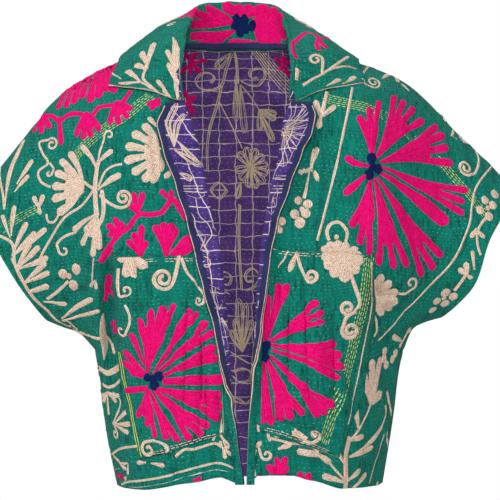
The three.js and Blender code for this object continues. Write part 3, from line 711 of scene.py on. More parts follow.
GREEN = outside_cloth("teal_cotton")
PURPLE = inside_cloth("purple_check_cotton")
# A lighter copy of the purple for the inside of the back: painted light that makes up for the shade inside
# the jacket.
PURPLE_BACK = inside_cloth("purple_check_cotton_painted_lighter", "66468A", "4A3270")
NAVY_TAPE = plain_cloth("navy_tape", "2C3258", "1C2142")
CREAM_EDGE = plain_cloth("cream_edge", "E2CDB8", "B79A80", 0.8)
print("finishes", [m.name for m in (GREEN, PURPLE, NAVY_TAPE, CREAM_EDGE)])

# %% [markdown]
# ## The two fronts
#
# Each front is one piece of cloth from its free edge, over the rolled lapel, to the side seam. The maker
# turned the edge over by hand and left it, so the roll is soft and the inside shows on it. It is built
# as one grid too, and the lengths on the cloth carry on over the roll so the check keeps its size.

# %% Fronts
FRONT_COLUMNS, BACK_COLUMNS, NECK_COLUMNS = 19, 18, 3
EDGE = ARC_STEPS + FLAT_STEPS
FINE_SHARES = column_shares(np.arange(FRONT_COLUMNS * FINER + 1) / FINER, FRONT_COLUMNS)


def front_sheet(name):
    """Points, facing and flat lengths of a front with its turned edge."""
    side, hem_level = SIDES[name], HEM_LEVEL["front"]
    levels = inner_levels(ROWS, SHOULDER[name][0][1], hem_level)
    out = np.where(ROWS < COLLAR_ROWS, neckline_out(name, levels), lapel_at(name, levels)[0])
    inner = np.stack([side * out, levels], -1)
    place = panel_places(name, ROWS, FINE_SHARES, inner, along(shoulder[name], FINE_SHARES))
    hem = at_level([x for x, up in FRONT_HEM], [up for x, up in FRONT_HEM], place[..., 0])
    near_hem = smooth(HEM_FADE, hem_level, levels) * (ROWS > UNDERARM_ROWS)
    straight = mix(hem_level, SIDE[name][-1][1], FINE_SHARES)
    place[..., 1] += near_hem[:, None] * (hem - straight[None])
    x, up = place[..., 0], place[..., 1]
    depth = depth_at("front", x, up)
    depth[0] = SEAM_HALF
    depth[ROWS >= SLEEVE_ROWS, -1] = SEAM_HALF
    u, v = to_flat("front", x, up)
    points = np.stack([x, -depth, up], -1)
    turned = ROWS >= COLLAR_ROWS
    edge, length, root_x = turned_edge(name, levels[turned])
    edge_u = to_flat("front", root_x, levels[turned])[0][:, None] - side * length
    edge_v = np.repeat(v[turned, :1], EDGE, 1)
    first = int(COLLAR_ROWS * FINER)
    filled = np.repeat(points[:, :1], EDGE, 1)
    filled[first:] = edge
    flat_u, flat_v = np.repeat(u[:, :1], EDGE, 1), np.repeat(v[:, :1], EDGE, 1)
    flat_u[first:], flat_v[first:] = edge_u, edge_v
    whole = np.concatenate([filled, points], 1)
    uv = np.stack([np.concatenate([flat_u, u], 1), np.concatenate([flat_v, v], 1)], -1)
    present = np.ones(whole.shape[:2], bool)
    present[:first, :EDGE] = False
    facing = np.concatenate([filled * 0, facing_of(points, -side)], 1)
    facing[first:, :EDGE + 3] = facing_of(whole[first:], -side)[:, :EDGE + 3]
    on_seam = np.abs(np.abs(whole[..., 1]) - SEAM_HALF) < 1e-6
    facing[..., 1] = np.where(on_seam, 0, facing[..., 1])
    return whole, unit(facing), uv, present


def hold_of(points):
    """How free the cloth is to pucker: not at all on a closed seam, half on an open edge."""
    return smooth(0, 12, np.abs(points[..., 1])) * 0.9


panels = {}
for name, side in SIDES.items():
    points, facing, uv, present = front_sheet(name)
    points = ripple(points, facing, uv, 0, hold_of(points))
    piece = shell(f"front_{name}_cloth", points, facing, QUILT, uv, [GREEN, PURPLE, CREAM_EDGE], -side,
                  present)
    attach(piece, "root")
    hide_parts(f"front_{name}")
    panels[f"front_{name}"] = (piece, points, facing, uv, present)
    print(piece.name, len(piece.data.polygons), "faces")


# %% Back
def back_sheet():
    halves = []
    columns = np.arange(BACK_COLUMNS * FINER + 1) / FINER
    shares = column_shares(columns, BACK_COLUMNS)
    neck_share = column_shares(np.array(float(NECK_COLUMNS)), BACK_COLUMNS)
    for name in ("left", "right"):
        levels = inner_levels(ROWS, BACK_NECK_LEVEL, HEM_LEVEL["back"])
        inner = np.stack([np.full(len(ROWS), float(CENTRE)), levels], -1)
        start = np.array([CENTRE, BACK_NECK_LEVEL], float)
        over_neck = mix(start, shoulder[name][0], np.clip(shares / neck_share, 0, 1)[:, None])
        over_shoulder = along(shoulder[name], np.clip((shares - neck_share) / (1 - neck_share), 0, 1))
        top = np.where((shares < neck_share)[:, None], over_neck, over_shoulder)
        place = panel_places(name, ROWS, shares, inner, top)
        x, up = place[..., 0], place[..., 1]
        depth = depth_at("back", x, up)
        depth[0, columns >= NECK_COLUMNS] = SEAM_HALF
        depth[ROWS >= SLEEVE_ROWS, -1] = SEAM_HALF
        halves.append(np.stack([x, depth, up], -1))
    return np.concatenate([halves[0][:, ::-1], halves[1][:, 1:]], 1)


points = back_sheet()
facing = facing_of(points, 1)
facing[..., 1] = np.where(np.abs(points[..., 1] - SEAM_HALF) < 1e-6, 0, facing[..., 1])
facing = unit(facing)
uv = np.stack(to_flat("back", points[..., 0], points[..., 2]), -1)
points = ripple(points, facing, uv, 40, hold_of(points))
back = shell("back_cloth", points, facing, QUILT, uv, [GREEN, PURPLE_BACK, CREAM_EDGE], 1)
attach(back, "root")
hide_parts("back")
panels["back"] = (back, points, facing, uv, None)
print("back_cloth", len(back.data.polygons), "faces")

# %% [markdown]
# ## The collar
#
# The collar is a straight quilted band that stands up from the neck seam and falls over. Its roll and
# its outer edge are two curves round the neck. Every cross section runs from the seam over the roll to
# the edge, which is how a tailor checks a collar on the stand.

# %% Collar
COLLAR_STATIONS = [
    (0.0, (-87, -117, -77), (-191, -79, -57), 3), (0.1, (-91, -100, -38), (-189, -66, -45), 5),
    (0.2, (-87, -68, 6), (-181, -46, -21), 8), (0.3, (-80, -10, 44), (-171, 10, -1), 9),
    (0.4, (-66, 40, 70), (-145, 68, -8), 9), (0.5, (-8, 60, 78), (-8, 100, -20), 6),
    (0.6, (48, 40, 70), (122, 70, -10), 9), (0.7, (61, -10, 38), (153, 10, -6), 9),
    (0.8, (67, -68, 5), (165, -46, -22), 8), (0.9, (70, -100, -40), (171, -62, -41), 5),
    (1.0, (66, -113, -77), (170, -75, -52), 3),
]
COLLAR_STEPS, PROFILE_STEPS = 180, 64


def rounded(points, steps):
    """A centripetal curve through points, which may be a stack of curves. Steps are shares of its course."""
    p = np.asarray(points, float)
    p = np.concatenate([2 * p[:1] - p[1:2], p, 2 * p[-1:] - p[-2:-1]])
    count = len(p) - 3
    out = []
    for share in steps:
        place = min(share * count, count - 1e-9)
        i, t = int(place), place - int(place)
        a, b, c, d = p[i:i + 4]
        gaps = [np.maximum(np.sum((q - r) ** 2, -1, keepdims=True) ** 0.25, 1e-4)
                for q, r in ((b, a), (c, b), (d, c))]
        start = ((b - a) / gaps[0] - (c - a) / (gaps[0] + gaps[1]) + (c - b) / gaps[1]) * gaps[1]
        end = ((c - b) / gaps[1] - (d - b) / (gaps[1] + gaps[2]) + (d - c) / gaps[2]) * gaps[1]
        out.append((2 * b - 2 * c + start + end) * t ** 3 + (-3 * b + 3 * c - 2 * start - end) * t ** 2
                   + start * t + b)
    return np.array(out)


def neck_seam():
    """Where the collar meets the panels, and the way that the collar leaves them."""
    bases, aways, behind = [], [], []

    def add(points, facing, inward, back_part):
        away = unit(points - inward)
        bases.append(points - facing * QUILT + away * 0.9)
        aways.append(away)
        behind.append(np.full(len(points), back_part))

    last = int(COLLAR_ROWS * FINER)
    for name in ("left", "back", "right"):
        if name == "back":
            _, points, facing, _, _ = panels["back"]
            middle, half = BACK_COLUMNS * FINER, NECK_COLUMNS * FINER
            span = slice(middle - half, middle + half + 1)
            add(points[0, span], facing[0, span], points[FINER, span], True)
            continue
        _, points, facing, _, _ = panels[f"front_{name}"]
        rows = slice(1, last + 1)
        order = slice(None, None, -1 if name == "left" else 1)
        add(points[rows, EDGE][order], facing[rows, EDGE][order], points[rows, EDGE + FINER][order], False)
    bases, aways, behind = np.concatenate(bases), np.concatenate(aways), np.concatenate(behind)
    lengths = np.concatenate([[0], np.cumsum(np.linalg.norm(np.diff(bases, axis=0), axis=1))])
    share = np.linspace(0, 1, COLLAR_STEPS + 1)
    at = share * lengths[-1]
    pick = lambda values: np.stack([np.interp(at, lengths, values[:, k]) for k in range(3)], -1)
    return pick(bases), unit(pick(aways)), np.interp(at, lengths, behind) > 0.5, share


def collar_sheet():
    base, away, behind, share = neck_seam()
    roll = rounded([row[1] for row in COLLAR_STATIONS], share)
    edge = rounded([row[2] for row in COLLAR_STATIONS], share)
    bulge = at_level([row[0] for row in COLLAR_STATIONS], [row[3] for row in COLLAR_STATIONS], share)
    fall = edge - roll
    outwards = unit(fall * [1, 1, 0])
    lift = (outwards * [0.6, 0.6, 0] + [0, 0, 0.8]) * bulge[:, None]
    before, after = roll - 4 * outwards, roll + 4 * outwards
    before[:, 2] = after[:, 2] = roll[:, 2] - 3
    profile = [base, base + away * 4, (base + roll) / 2 - outwards, before, roll, after,
               roll + 0.4 * fall + lift, roll + 0.75 * fall + 0.6 * lift, edge]
    points = rounded(profile, np.linspace(0, 1, PROFILE_STEPS + 1)).transpose(1, 0, 2)
    level = np.interp(points[..., 0], top_line[:, 0], top_line[:, 1])
    below = level - points[..., 2]
    depths = [depth_at(face, points[..., 0], points[..., 2], 0) for face in ("front", "back")]
    least = np.where(points[..., 1] < 0, *depths) + np.clip(below, 0, 6)
    far = (np.arange(PROFILE_STEPS + 1) > PROFILE_STEPS * 0.6)[None]
    push = far & (below > 0) & (np.abs(points[..., 1]) < least)
    points[..., 1] = np.where(push, np.sign(points[..., 1]) * least, points[..., 1])
    return points, behind


collar_points, collar_behind = collar_sheet()
collar_facing = facing_of(collar_points, -1)
across = np.linalg.norm(np.diff(collar_points, axis=1), axis=2)
collar_v = np.concatenate([np.zeros((len(across), 1)), np.cumsum(across, 1)], 1)
roll_line = collar_points[:, PROFILE_STEPS * 5 // 8]
collar_u = np.concatenate([[0], np.cumsum(np.linalg.norm(np.diff(roll_line, axis=0), axis=1))])
collar_uv = np.stack([np.repeat(collar_u[:, None], PROFILE_STEPS + 1, 1), collar_v], -1)
free = smooth(0, 12, collar_v)
collar_points = ripple(collar_points, collar_facing, collar_uv, 90, free)
collar = shell("collar_cloth", collar_points, collar_facing, COLLAR_QUILT, collar_uv,
               [GREEN, PURPLE, CREAM_EDGE], -1)
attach(collar, "root")
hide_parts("collar")
print("collar seam", round(float(collar_u[-1])), "mm, width", collar_v[:, -1].min().round(),
      collar_v[:, -1].max().round())

# %% [markdown]
# ## Pockets and tapes
#
# The patch pockets are cut from the same cloth and sewn down on three sides, with a free top edge. Navy
# tape covers the raw inside of both front edges and of the back neck seam. Each follows the cloth it is
# sewn to at a small distance, so nothing floats and nothing sinks in.

# %% Pockets
POCKETS = {
    "left": (-298, -545, (39, 33, 30, 27), (183, 180, 173, 144), 39, 2),
    "right": (-289, -541, (31, 26, 25, 24), (182, 183, 168, 132), 40, 8),
}
POCKET_LIFT = 3.2


def pocket_places(name, down, share):
    top, bottom, inner, outer, sink, lean = POCKETS[name]
    near, far = (at_level([i / 3 for i in range(4)], outs, down) for outs in (inner, outer))
    level = mix(top, bottom, down) - share * mix(lean, sink, down)
    return SIDES[name] * mix(near, far, share), level


for name, side in SIDES.items():
    down, share = np.meshgrid(np.linspace(0, 1, 85), np.linspace(0, 1, 51), indexing="ij")
    x, up = pocket_places(name, down, share)
    sewn = np.minimum(np.minimum(share, 1 - share) * 140, (1 - down) * 270)
    lift = 2.2 + (POCKET_LIFT - 2.2) * smooth(0, 22, sewn)
    points, facing = on_panel("front", x, up, lift)
    own = 0.9 * noise(x, up, 19, 27, 60) + 0.5 * noise(x, up, 7, 12, 61)
    points = points + facing * (own * smooth(0, 10, sewn))[..., None]
    uv = np.stack(to_flat("front", x + 11 * side, up + 6), -1)
    piece = shell(f"pocket_{name}_cloth", points, facing, 1.8, uv, [GREEN, PURPLE, CREAM_EDGE], -side)
    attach(piece, "root")
    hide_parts(f"pocket_{name}")
    panels[f"pocket_{name}"] = (piece, points, facing, uv, None)

# %% Tapes
for name, side in SIDES.items():
    _, points, facing, uv, _ = panels[f"front_{name}"]
    first = int(COLLAR_ROWS * FINER)
    edge, normal, flat_uv = points[first:, :EDGE + 1], facing[first:, :EDGE + 1], uv[first:, :EDGE + 1]
    from_edge = np.abs(flat_uv[..., 0] - flat_uv[:, :1, 0])
    level = edge[:, 0, 2]
    peep = 2.2 * smooth(-470, -520, level) if name == "left" else 0.2 * np.ones(len(level))
    out = unit(edge[:, 0] - edge[:, 2])
    strips = []
    for step in np.linspace(0, 1, 7):
        reach = step * np.minimum(TAPE_WIDTH, from_edge[:, FLAT_STEPS] * 0.9)
        row_point, row_facing = [], []
        for i in range(len(edge)):
            here = [np.interp(reach[i], from_edge[i], edge[i, :, k]) for k in range(3)]
            look = [np.interp(reach[i], from_edge[i], normal[i, :, k]) for k in range(3)]
            row_point.append(np.array(here) + out[i] * peep[i] * (1 - step))
            row_facing.append(look)
        strips.append((np.array(row_point), unit(np.array(row_facing))))
    tape_points = np.stack([s[0] for s in strips], 1)
    tape_facing = np.stack([s[1] for s in strips], 1)
    tape_points = tape_points - tape_facing * (QUILT + 0.15)
    along_edge = np.concatenate([[0], np.cumsum(np.linalg.norm(np.diff(edge[:, 0], axis=0), axis=1))])
    tape_uv = np.stack([np.repeat(along_edge[:, None], 7, 1),
                        np.repeat(np.linspace(0, TAPE_WIDTH, 7)[None], len(edge), 0)], -1)
    tape = shell(f"front_tape_{name}_cloth", tape_points, tape_facing, 0.9, tape_uv, [NAVY_TAPE] * 3, -side)
    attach(tape, "root")
    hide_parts(f"front_tape_{name}")
    panels[f"front_tape_{name}"] = (tape, tape_points, tape_facing, tape_uv, None)

span = slice(PROFILE_STEPS * 2 // 16, PROFILE_STEPS * 3 // 16)
rows = np.where(collar_behind)[0]
neck_points = (collar_points + collar_facing * 1.15)[rows][:, span]
neck_facing = collar_facing[rows][:, span]
neck_tape = shell("neck_tape_cloth", neck_points, neck_facing, 0.9, collar_uv[rows][:, span],
                  [NAVY_TAPE] * 3, -1)
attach(neck_tape, "root")
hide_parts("neck_tape")

# %% [markdown]
# ## The cut of each piece
#
# Every piece is one sheet of cloth.

# %% Flat sizes
def lengths(points, axis, present):
    steps = np.linalg.norm(np.diff(points, axis=axis), axis=-1)
    kept = present[:-1] & present[1:] if axis == 0 else present[:, :-1] & present[:, 1:]
    return float((steps * kept).sum(axis).max()) * MM


def cut(piece, points, present=None):
    """Prints a sheet's flat size and area, the area rounded to four places."""
    present = np.ones(points.shape[:2], bool) if present is None else present
    right, down = points[1:, :-1] - points[:-1, :-1], points[:-1, 1:] - points[:-1, :-1]
    across, below = points[1:, 1:] - points[:-1, 1:], points[1:, 1:] - points[1:, :-1]
    area = (np.linalg.norm(np.cross(right, down), axis=-1) + np.linalg.norm(np.cross(across, below),
                                                                            axis=-1)) / 2
    whole = present[:-1, :-1] & present[1:, :-1] & present[:-1, 1:] & present[1:, 1:]
    area = float((area * whole).sum()) * MM * MM
    wide, tall = lengths(points, 1, present), lengths(points, 0, present)
    print("cut", piece.name, round(wide, 3), "x", round(tall, 3), "m, area", round(area, 4))


for key, (piece, points, facing, uv, present) in panels.items():
    cut(piece, points, present)
cut(collar, collar_points)
cut(neck_tape, neck_points)

# %% [markdown]
# ## Chain stitch
#
# All the flowers are chain stitch: rows of small links laid side by side, each shape filled lengthwise.
# The thread stands about a millimetre proud of the cloth, so each shape is a low domed patch of its own,
# lying on the curved and puckered panel. The links are a bump that follows the patch. Modelling every
# link would take millions of faces and look the same from here.

# %% Thread finishes
def link_group():
    """Rows of chain links along U. The gap mask paints shade where the links and rows dip low, and adds
    random dark specks.
    """
    group, given, result = new_group("Chain stitch", [
        ("Cloth", VECTOR, None), ("Row", FLOAT, 2.3), ("Link", FLOAT, 3.1),
    ], [("Height", FLOAT), ("Gap shade and specks", FLOAT), ("Tone", FLOAT)])
    w = Wires(group)
    loose = w.noise(given.outputs["Cloth"], 0.35, 2.0)
    split = w.add("ShaderNodeSeparateXYZ", given.outputs["Cloth"])
    v = w.over(w.plus(split.outputs["Y"], w.mul(loose, 1.2)), given.outputs["Row"])
    off = w.math("ABSOLUTE", w.less(w.math("FRACT", v), 0.5))
    row_shift = w.add("ShaderNodeTexWhiteNoise", None, w.math("FLOOR", v),
                      noise_dimensions="1D").outputs["Value"]
    u = w.plus(w.over(split.outputs["X"], given.outputs["Link"]),
               w.plus(w.mul(off, 1.1), w.mul(row_shift, 5.0)))
    end = w.math("ABSOLUTE", w.less(w.math("FRACT", u), 0.5))
    ridge = w.less(1.0, w.math("POWER", w.mul(off, 2.0), 3.0))
    link = w.less(1.0, w.math("POWER", w.mul(end, 2.0), 6.0))
    hole = w.map(w.plus(w.mul(off, 3.2), end), 0.12, 0.3, 0.55, 0.0)
    height = w.less(w.mul(ridge, w.plus(0.4, w.mul(link, 0.6))), hole)
    w.put(result.inputs["Height"], w.mul(height, 0.75))
    # The gap mask: painted shade where the thread dips low between links and rows, plus random dark specks.
    speck = w.noise(given.outputs["Cloth"], 0.42, 2.0, 0.6)
    w.put(result.inputs["Gap shade and specks"], w.math("MAXIMUM", w.map(height, 0.12, 0.66, 1.0, 0.0),
                                       w.map(speck, 0.54, 0.66, 0.0, 0.8)))
    w.put(result.inputs["Tone"], w.noise(given.outputs["Cloth"], 0.16, 3.0, 0.7))
    return group


LINKS = link_group()


def thread(name, colour, gap, light, row=2.3, link=3.1, sheen=0.0, rough=0.72):
    material, shader, w, cloth = start_material(name, rough, sheen)
    shader.inputs["Specular IOR Level"].default_value = 0.08
    links = group_node(w, LINKS, cloth, Row=row, Link=link)
    body = w.mix(w.map(links.outputs["Tone"], 0.35, 0.7), srgb(colour), srgb(light))
    # The gap colour is painted shade between the links, and random dark specks.
    w.put(shader.inputs["Base Color"], w.mix(w.mul(links.outputs["Gap shade and specks"], 0.85), body, srgb(gap)))
    bump(w, shader, links.outputs["Height"], 1.0)
    return material


# Each thread: its colour, a darker colour painted as shade between the links and as specks, and a lighter
# tone.
THREADS = {
    "pink": thread("flower_thread", "E80066", "8A003C", "FF1488"),
    "cream": thread("cream_thread", "E6C4AC", "5E4034", "FAE4D2"),
    "navy": thread("navy_thread", "061B52", "030A26", "0E2A66"),
    "lime": thread("lime_thread", "A9C95C", "86A850", "D6D878", 9.0, 9.0),
    "white": thread("white_thread", "E6E2D6", "9AA79A", "F6F4EC", 2.0, 3.4),
    "grey": thread("reverse_thread", "E4CDB2", "B89C84", "F2E0CC", 1.6, 4.0),
    # A second reverse thread for the inside of the back, a little yellower than the lapels' one.
    "pale": thread("reverse_thread_inside_back", "E6CDA8", "B89C78", "F4E2C4", 1.6, 4.0),
    "tape": NAVY_TAPE,
}

# %% [markdown]
# ## Where embroidery lies
#
# A shape is drawn flat in millimetres and laid on a surface. A surface knows how to lift a flat point
# onto the worn cloth and where its cloth ends. Points past the end are pulled back to it, so a flower
# that was cut through when the jacket was cut out ends there, straight, as on the real one.

# %% Surfaces for embroidery
def inside_outline(outline, x, up):
    inside = np.zeros(np.shape(x), bool)
    for (x1, up1), (x2, up2) in zip(outline, np.roll(outline, -1, 0)):
        crosses = (up1 > up) != (up2 > up)
        if up1 != up2:
            inside ^= crosses & (x < (x2 - x1) * (up - up1) / (up2 - up1) + x1)
    return inside


def nearest_on(outline, x, up):
    best, px, pup = np.full(np.shape(x), np.inf), np.array(x), np.array(up)
    for (x1, up1), (x2, up2) in zip(outline, np.roll(outline, -1, 0)):
        dx, dup = x2 - x1, up2 - up1
        share = np.clip(((x - x1) * dx + (up - up1) * dup) / max(dx * dx + dup * dup, 1e-9), 0, 1)
        qx, qup = x1 + share * dx, up1 + share * dup
        gap = (x - qx) ** 2 + (up - qup) ** 2
        px, pup, best = np.where(gap < best, qx, px), np.where(gap < best, qup, pup), np.minimum(gap, best)
    return px, pup


class PanelCloth:
    """One face of a front or the back, inside an outline seen from the front. Way -1 is the inner face."""

    def __init__(self, face, outline, lift=0.0, seed=0, way=1):
        self.face, self.outline, self.lift, self.seed, self.way = face, np.asarray(outline), lift, seed, way

    def flat(self, places):
        places = np.asarray(places, float)
        return np.stack(to_flat(self.face, places[..., 0], places[..., 1]), -1)

    def lay(self, flat, lift):
        x, up = from_flat(self.face, flat[:, 0], flat[:, 1])
        kept = inside_outline(self.outline, x, up)
        if not kept.all():
            x[~kept], up[~kept] = nearest_on(self.outline, x[~kept], up[~kept])
        return on_panel(self.face, x, up, self.way * (self.lift + lift), self.seed)[0], kept


class GridCloth:
    """A sheet that is only known as a grid, such as the collar or a turned lapel."""

    def __init__(self, points, facing, across, down):
        self.points, self.facing, self.across, self.down = points, facing, across, down

    def flat(self, places):
        return np.asarray(places, float)

    def lay(self, flat, lift):
        rows, columns = self.points.shape[:2]
        order = 1 if self.across[-1] > self.across[0] else -1
        i = np.interp(order * flat[:, 0], order * self.across, np.arange(rows))
        floor_i = np.clip(i.astype(int), 0, rows - 2)
        down = mix(self.down[floor_i], self.down[floor_i + 1], (i - floor_i)[:, None])
        share = flat[:, 1] / down[:, -1]
        floor_j = np.clip((down <= flat[:, 1:]).sum(1) - 1, 0, columns - 2)
        each = np.arange(len(i))
        low_v, high_v = down[each, floor_j], down[each, floor_j + 1]
        fj = np.clip((flat[:, 1] - low_v) / np.maximum(high_v - low_v, 1e-6), 0, 1)[:, None]
        fi = (i - floor_i)[:, None]

        def at(grid):
            low = mix(grid[floor_i, floor_j], grid[floor_i + 1, floor_j], fi)
            return mix(low, mix(grid[floor_i, floor_j + 1], grid[floor_i + 1, floor_j + 1], fi), fj)

        points = at(self.points) + unit(at(self.facing)) * lift[:, None]
        ends = sorted((self.across[0], self.across[-1]))
        kept = (flat[:, 0] > ends[0]) & (flat[:, 0] < ends[1]) & (share > 0) & (share < 1)
        return points, kept


def outline_of(key):
    """The edge of a front seen from the front: roll line, shoulder, cuff, underarm, side and hem."""
    _, points, _, _, _ = panels[key]
    start = EDGE if key.startswith("front") else 0
    grid = points[:, start:, ::2]
    return np.concatenate([grid[0], grid[1:, -1], grid[-1, -2::-1], grid[-2:0:-1, 0]])


def pocket_outline(name):
    edge = np.linspace(0, 1, 13)
    home, whole = edge[::-1], np.ones(12)
    corners = [pocket_places(name, edge * 0, edge), pocket_places(name, edge[1:], whole),
               pocket_places(name, whole, home[1:]), pocket_places(name, home[1:-1], 0)]
    return np.concatenate([np.stack(np.broadcast_arrays(*corner), -1) for corner in corners])


surfaces = {
    "left": PanelCloth("front", outline_of("front_left")),
    "right": PanelCloth("front", outline_of("front_right")),
    "back": PanelCloth("back", outline_of("back"), 0, 40),
    "inside": PanelCloth("back", outline_of("back"), QUILT, 40, -1),
    "pocket_left": PanelCloth("front", pocket_outline("left"), POCKET_LIFT + 0.3),
    "pocket_right": PanelCloth("front", pocket_outline("right"), POCKET_LIFT + 0.3),
    "collar": GridCloth(collar_points, collar_facing, collar_u, collar_v),
}
for name in SIDES:
    _, points, facing, uv, _ = panels[f"front_{name}"]
    first = int(COLLAR_ROWS * FINER)
    strip, look = points[first:, :EDGE + 1], facing[first:, :EDGE + 1]
    from_edge = np.abs(uv[first:, :EDGE + 1, 0] - uv[first:, :1, 0])
    surfaces[f"lapel_{name}"] = GridCloth(strip - look * QUILT, -look, strip[:, 0, 2], from_edge)

print("surfaces", sorted(surfaces))

# %% [markdown]
# ## Petals, leaves and lines
#
# Two shapes make every motif. A patch is a spine with a width that changes along it: petal, leaf, bud or
# disc. A line is a patch of constant width. Both are quilted onto their surface and kept in one basket
# per surface and thread, so the scene ends up with a few joined meshes and not thousands of objects.

# %% Patch and line
baskets = {}
WIDEN = {"cream": 1.35, "pink": 1.15, "grey": 1.3, "pale": 1.3}


def curve_through(points, step=3.0):
    """A smooth course through flat points with about one step between samples."""
    points = np.asarray(points, float)
    if len(points) > 2:
        points = smooth_line([tuple(p) for p in points], 1, 6)
    lengths = np.concatenate([[0], np.cumsum(np.hypot(*np.diff(points, axis=0).T))])
    count = max(3, int(lengths[-1] / step) + 1)
    at = np.linspace(0, lengths[-1], count)
    return np.stack([np.interp(at, lengths, points[:, k]) for k in range(2)], -1), at


def lay_patch(surface, colour, spine, at, half, height=0.9, base=-0.3):
    """A domed patch round a flat spine. The edges dip under the cloth so that no gap shows."""
    spans = 6 if half.max() > 4 else (4 if half.max() > 1.6 else 2)
    way = unit(np.gradient(spine, axis=0))
    aside = np.stack([-way[:, 1], way[:, 0]], -1)
    across = np.linspace(-1, 1, spans + 1)
    flat = spine[:, None] + aside[:, None] * (half[:, None] * across[None])[..., None]
    dome = 1 - np.abs(across) ** 3
    rise = base + (height - base) * dome[None] * np.clip(half / 1.5, 0.3, 1)[:, None]
    basket = baskets.setdefault((surface, colour), {"flat": [], "rise": [], "uv": [], "faces": [],
                                                    "count": 0})
    rows, columns = flat.shape[:2]
    index = np.arange(rows * columns).reshape(rows, columns) + basket["count"]
    corners = np.stack([index[:-1, :-1], index[:-1, 1:], index[1:, 1:], index[1:, :-1]], -1)
    basket["flat"].append(flat.reshape(-1, 2))
    basket["rise"].append(rise.ravel())
    wide = (half[:, None] * across[None]) + 1.15
    shift = 37.0 * len(basket["flat"])
    basket["uv"].append(np.stack([np.repeat(at[:, None], columns, 1) + shift, wide], -1).reshape(-1, 2))
    basket["faces"].append(corners.reshape(-1, 4))
    basket["count"] += rows * columns


def petal(surface, colour, base, tip, width, narrow=0.3, lean=0.0, height=0.9):
    """Grows from a narrow base to a rounded tip. Width is the real one, lean bends it sideways."""
    a, b = surfaces[surface].flat([base, tip])
    side = np.array([-(b - a)[1], (b - a)[0]])
    spine, at = curve_through([a, (a + b) / 2 + side * lean, b], 2.5)
    share = at / at[-1]
    half = width / 2
    round_tip = np.sqrt(np.clip(1 - np.clip((at - (at[-1] - half)) / half, 0, 1) ** 2, 0.02, 1))
    lay_patch(surface, colour, spine, at, half * mix(narrow, 1, smooth(0, 0.75, share)) * round_tip, height)


def leaf(surface, colour, base, tip, width, lean=0.0):
    """Pointed at both ends."""
    a, b = surfaces[surface].flat([base, tip])
    side = np.array([-(b - a)[1], (b - a)[0]])
    spine, at = curve_through([a, (a + b) / 2 + side * lean, b], 2.5)
    share = at / at[-1]
    lay_patch(surface, colour, spine, at, width / 2 * np.clip(np.sin(np.pi * share ** 0.8), 0.08, 1) ** 0.7)


def disc(surface, colour, centre, radius, height=1.1):
    c = surfaces[surface].flat([centre])[0]
    at = np.linspace(-1, 1, 9)
    spine = c + np.stack([at * 0, at * radius * 0.98], -1)
    lay_patch(surface, colour, spine, at * radius + radius, radius * np.sqrt(np.clip(1 - at ** 2, 0.03, 1)),
              height)


def line(surface, colour, points, width=2.6, height=0.7):
    spine, at = curve_through(surfaces[surface].flat(points), 3.0)
    lay_patch(surface, colour, spine, at, np.full(len(at), width * WIDEN.get(colour, 1.0) / 2), height)


def hand(surface, colour, base, tips, width, narrow=0.35):
    """Fingers from one base: a petal with a lobed end, a bud or a shell flower."""
    for i, tip in enumerate(tips):
        lean = 0.05 * (i - (len(tips) - 1) / 2)
        petal(surface, colour, base, tip, width, narrow, -lean * 0.3, 0.9 + 0.08 * (i % 2))


def palm(surface, colour, base, tips, width, reach=0.8):
    """A broad petal whose end is divided into fingers: they widen evenly, over a filled wedge."""
    places = surfaces[surface].flat([base] + list(tips))
    a, ends = places[0], places[1:]
    middle = ends.mean(0)
    for i, end in enumerate(ends):
        aside = np.array([-(end - a)[1], (end - a)[0]])
        lean = 0.03 * (i - (len(ends) - 1) / 2)
        spine, at = curve_through([a, (a + end) / 2 + aside * lean, end], 2.5)
        round_tip = np.sqrt(np.clip(1 - np.clip((at - (at[-1] - width / 2)) / (width / 2), 0, 1) ** 2, 0.02,
                                    1))
        lay_patch(surface, colour, spine, at, width / 2 * mix(0.3, 1, at / at[-1]) * round_tip,
                  0.9 + 0.12 * (i % 2))
    spine, at = curve_through([a, (a + middle) / 2, a + (middle - a) * reach * 0.86], 3.0)
    share = at / at[-1]
    spread = np.linalg.norm(ends[-1] - ends[0]) / 2 * reach * 0.86
    half = np.maximum(1.5, spread * share) * np.sqrt(np.clip(1 - share ** 8, 0.05, 1))
    lay_patch(surface, colour, spine, at, half, 0.85, 0.1)


def curl(surface, colour, centre, radius, start, turns=1.4, width=3.0, tail=(), hand_way=1):
    """A tendril that winds inwards. It starts where its stem comes from."""
    c = surfaces[surface].flat([centre])[0]
    lead = surfaces[surface].flat(tail) if len(tail) else np.zeros((0, 2))
    first = math.radians(start)
    if len(tail):
        off = lead[-1] - c
        way = (c - lead[-2]) if len(tail) > 1 else -off
        hand_way = 1 if off[0] * way[1] - off[1] * way[0] > 0 else -1
        first = math.atan2(off[1], off[0]) + hand_way * 0.6
    angle = first + hand_way * np.linspace(0, turns * 2 * np.pi, int(9 * turns) + 4)
    size = radius * np.linspace(1, 0.24, len(angle))
    coil = c + np.stack([size * np.cos(angle), size * np.sin(angle)], -1)
    spine, at = curve_through(np.concatenate([lead, coil]), 2.2)
    lay_patch(surface, colour, spine, at, np.full(len(at), width * WIDEN.get(colour, 1.0) / 2), 0.7)


def blade(surface, colour, points, width):
    """A long leaf along a bent spine."""
    spine, at = curve_through(surfaces[surface].flat(points), 2.5)
    lay_patch(surface, colour, spine, at, width / 2 * np.clip(np.sin(np.pi * (at / at[-1]) ** 0.9), 0.1,
                                                              1) ** 0.7)


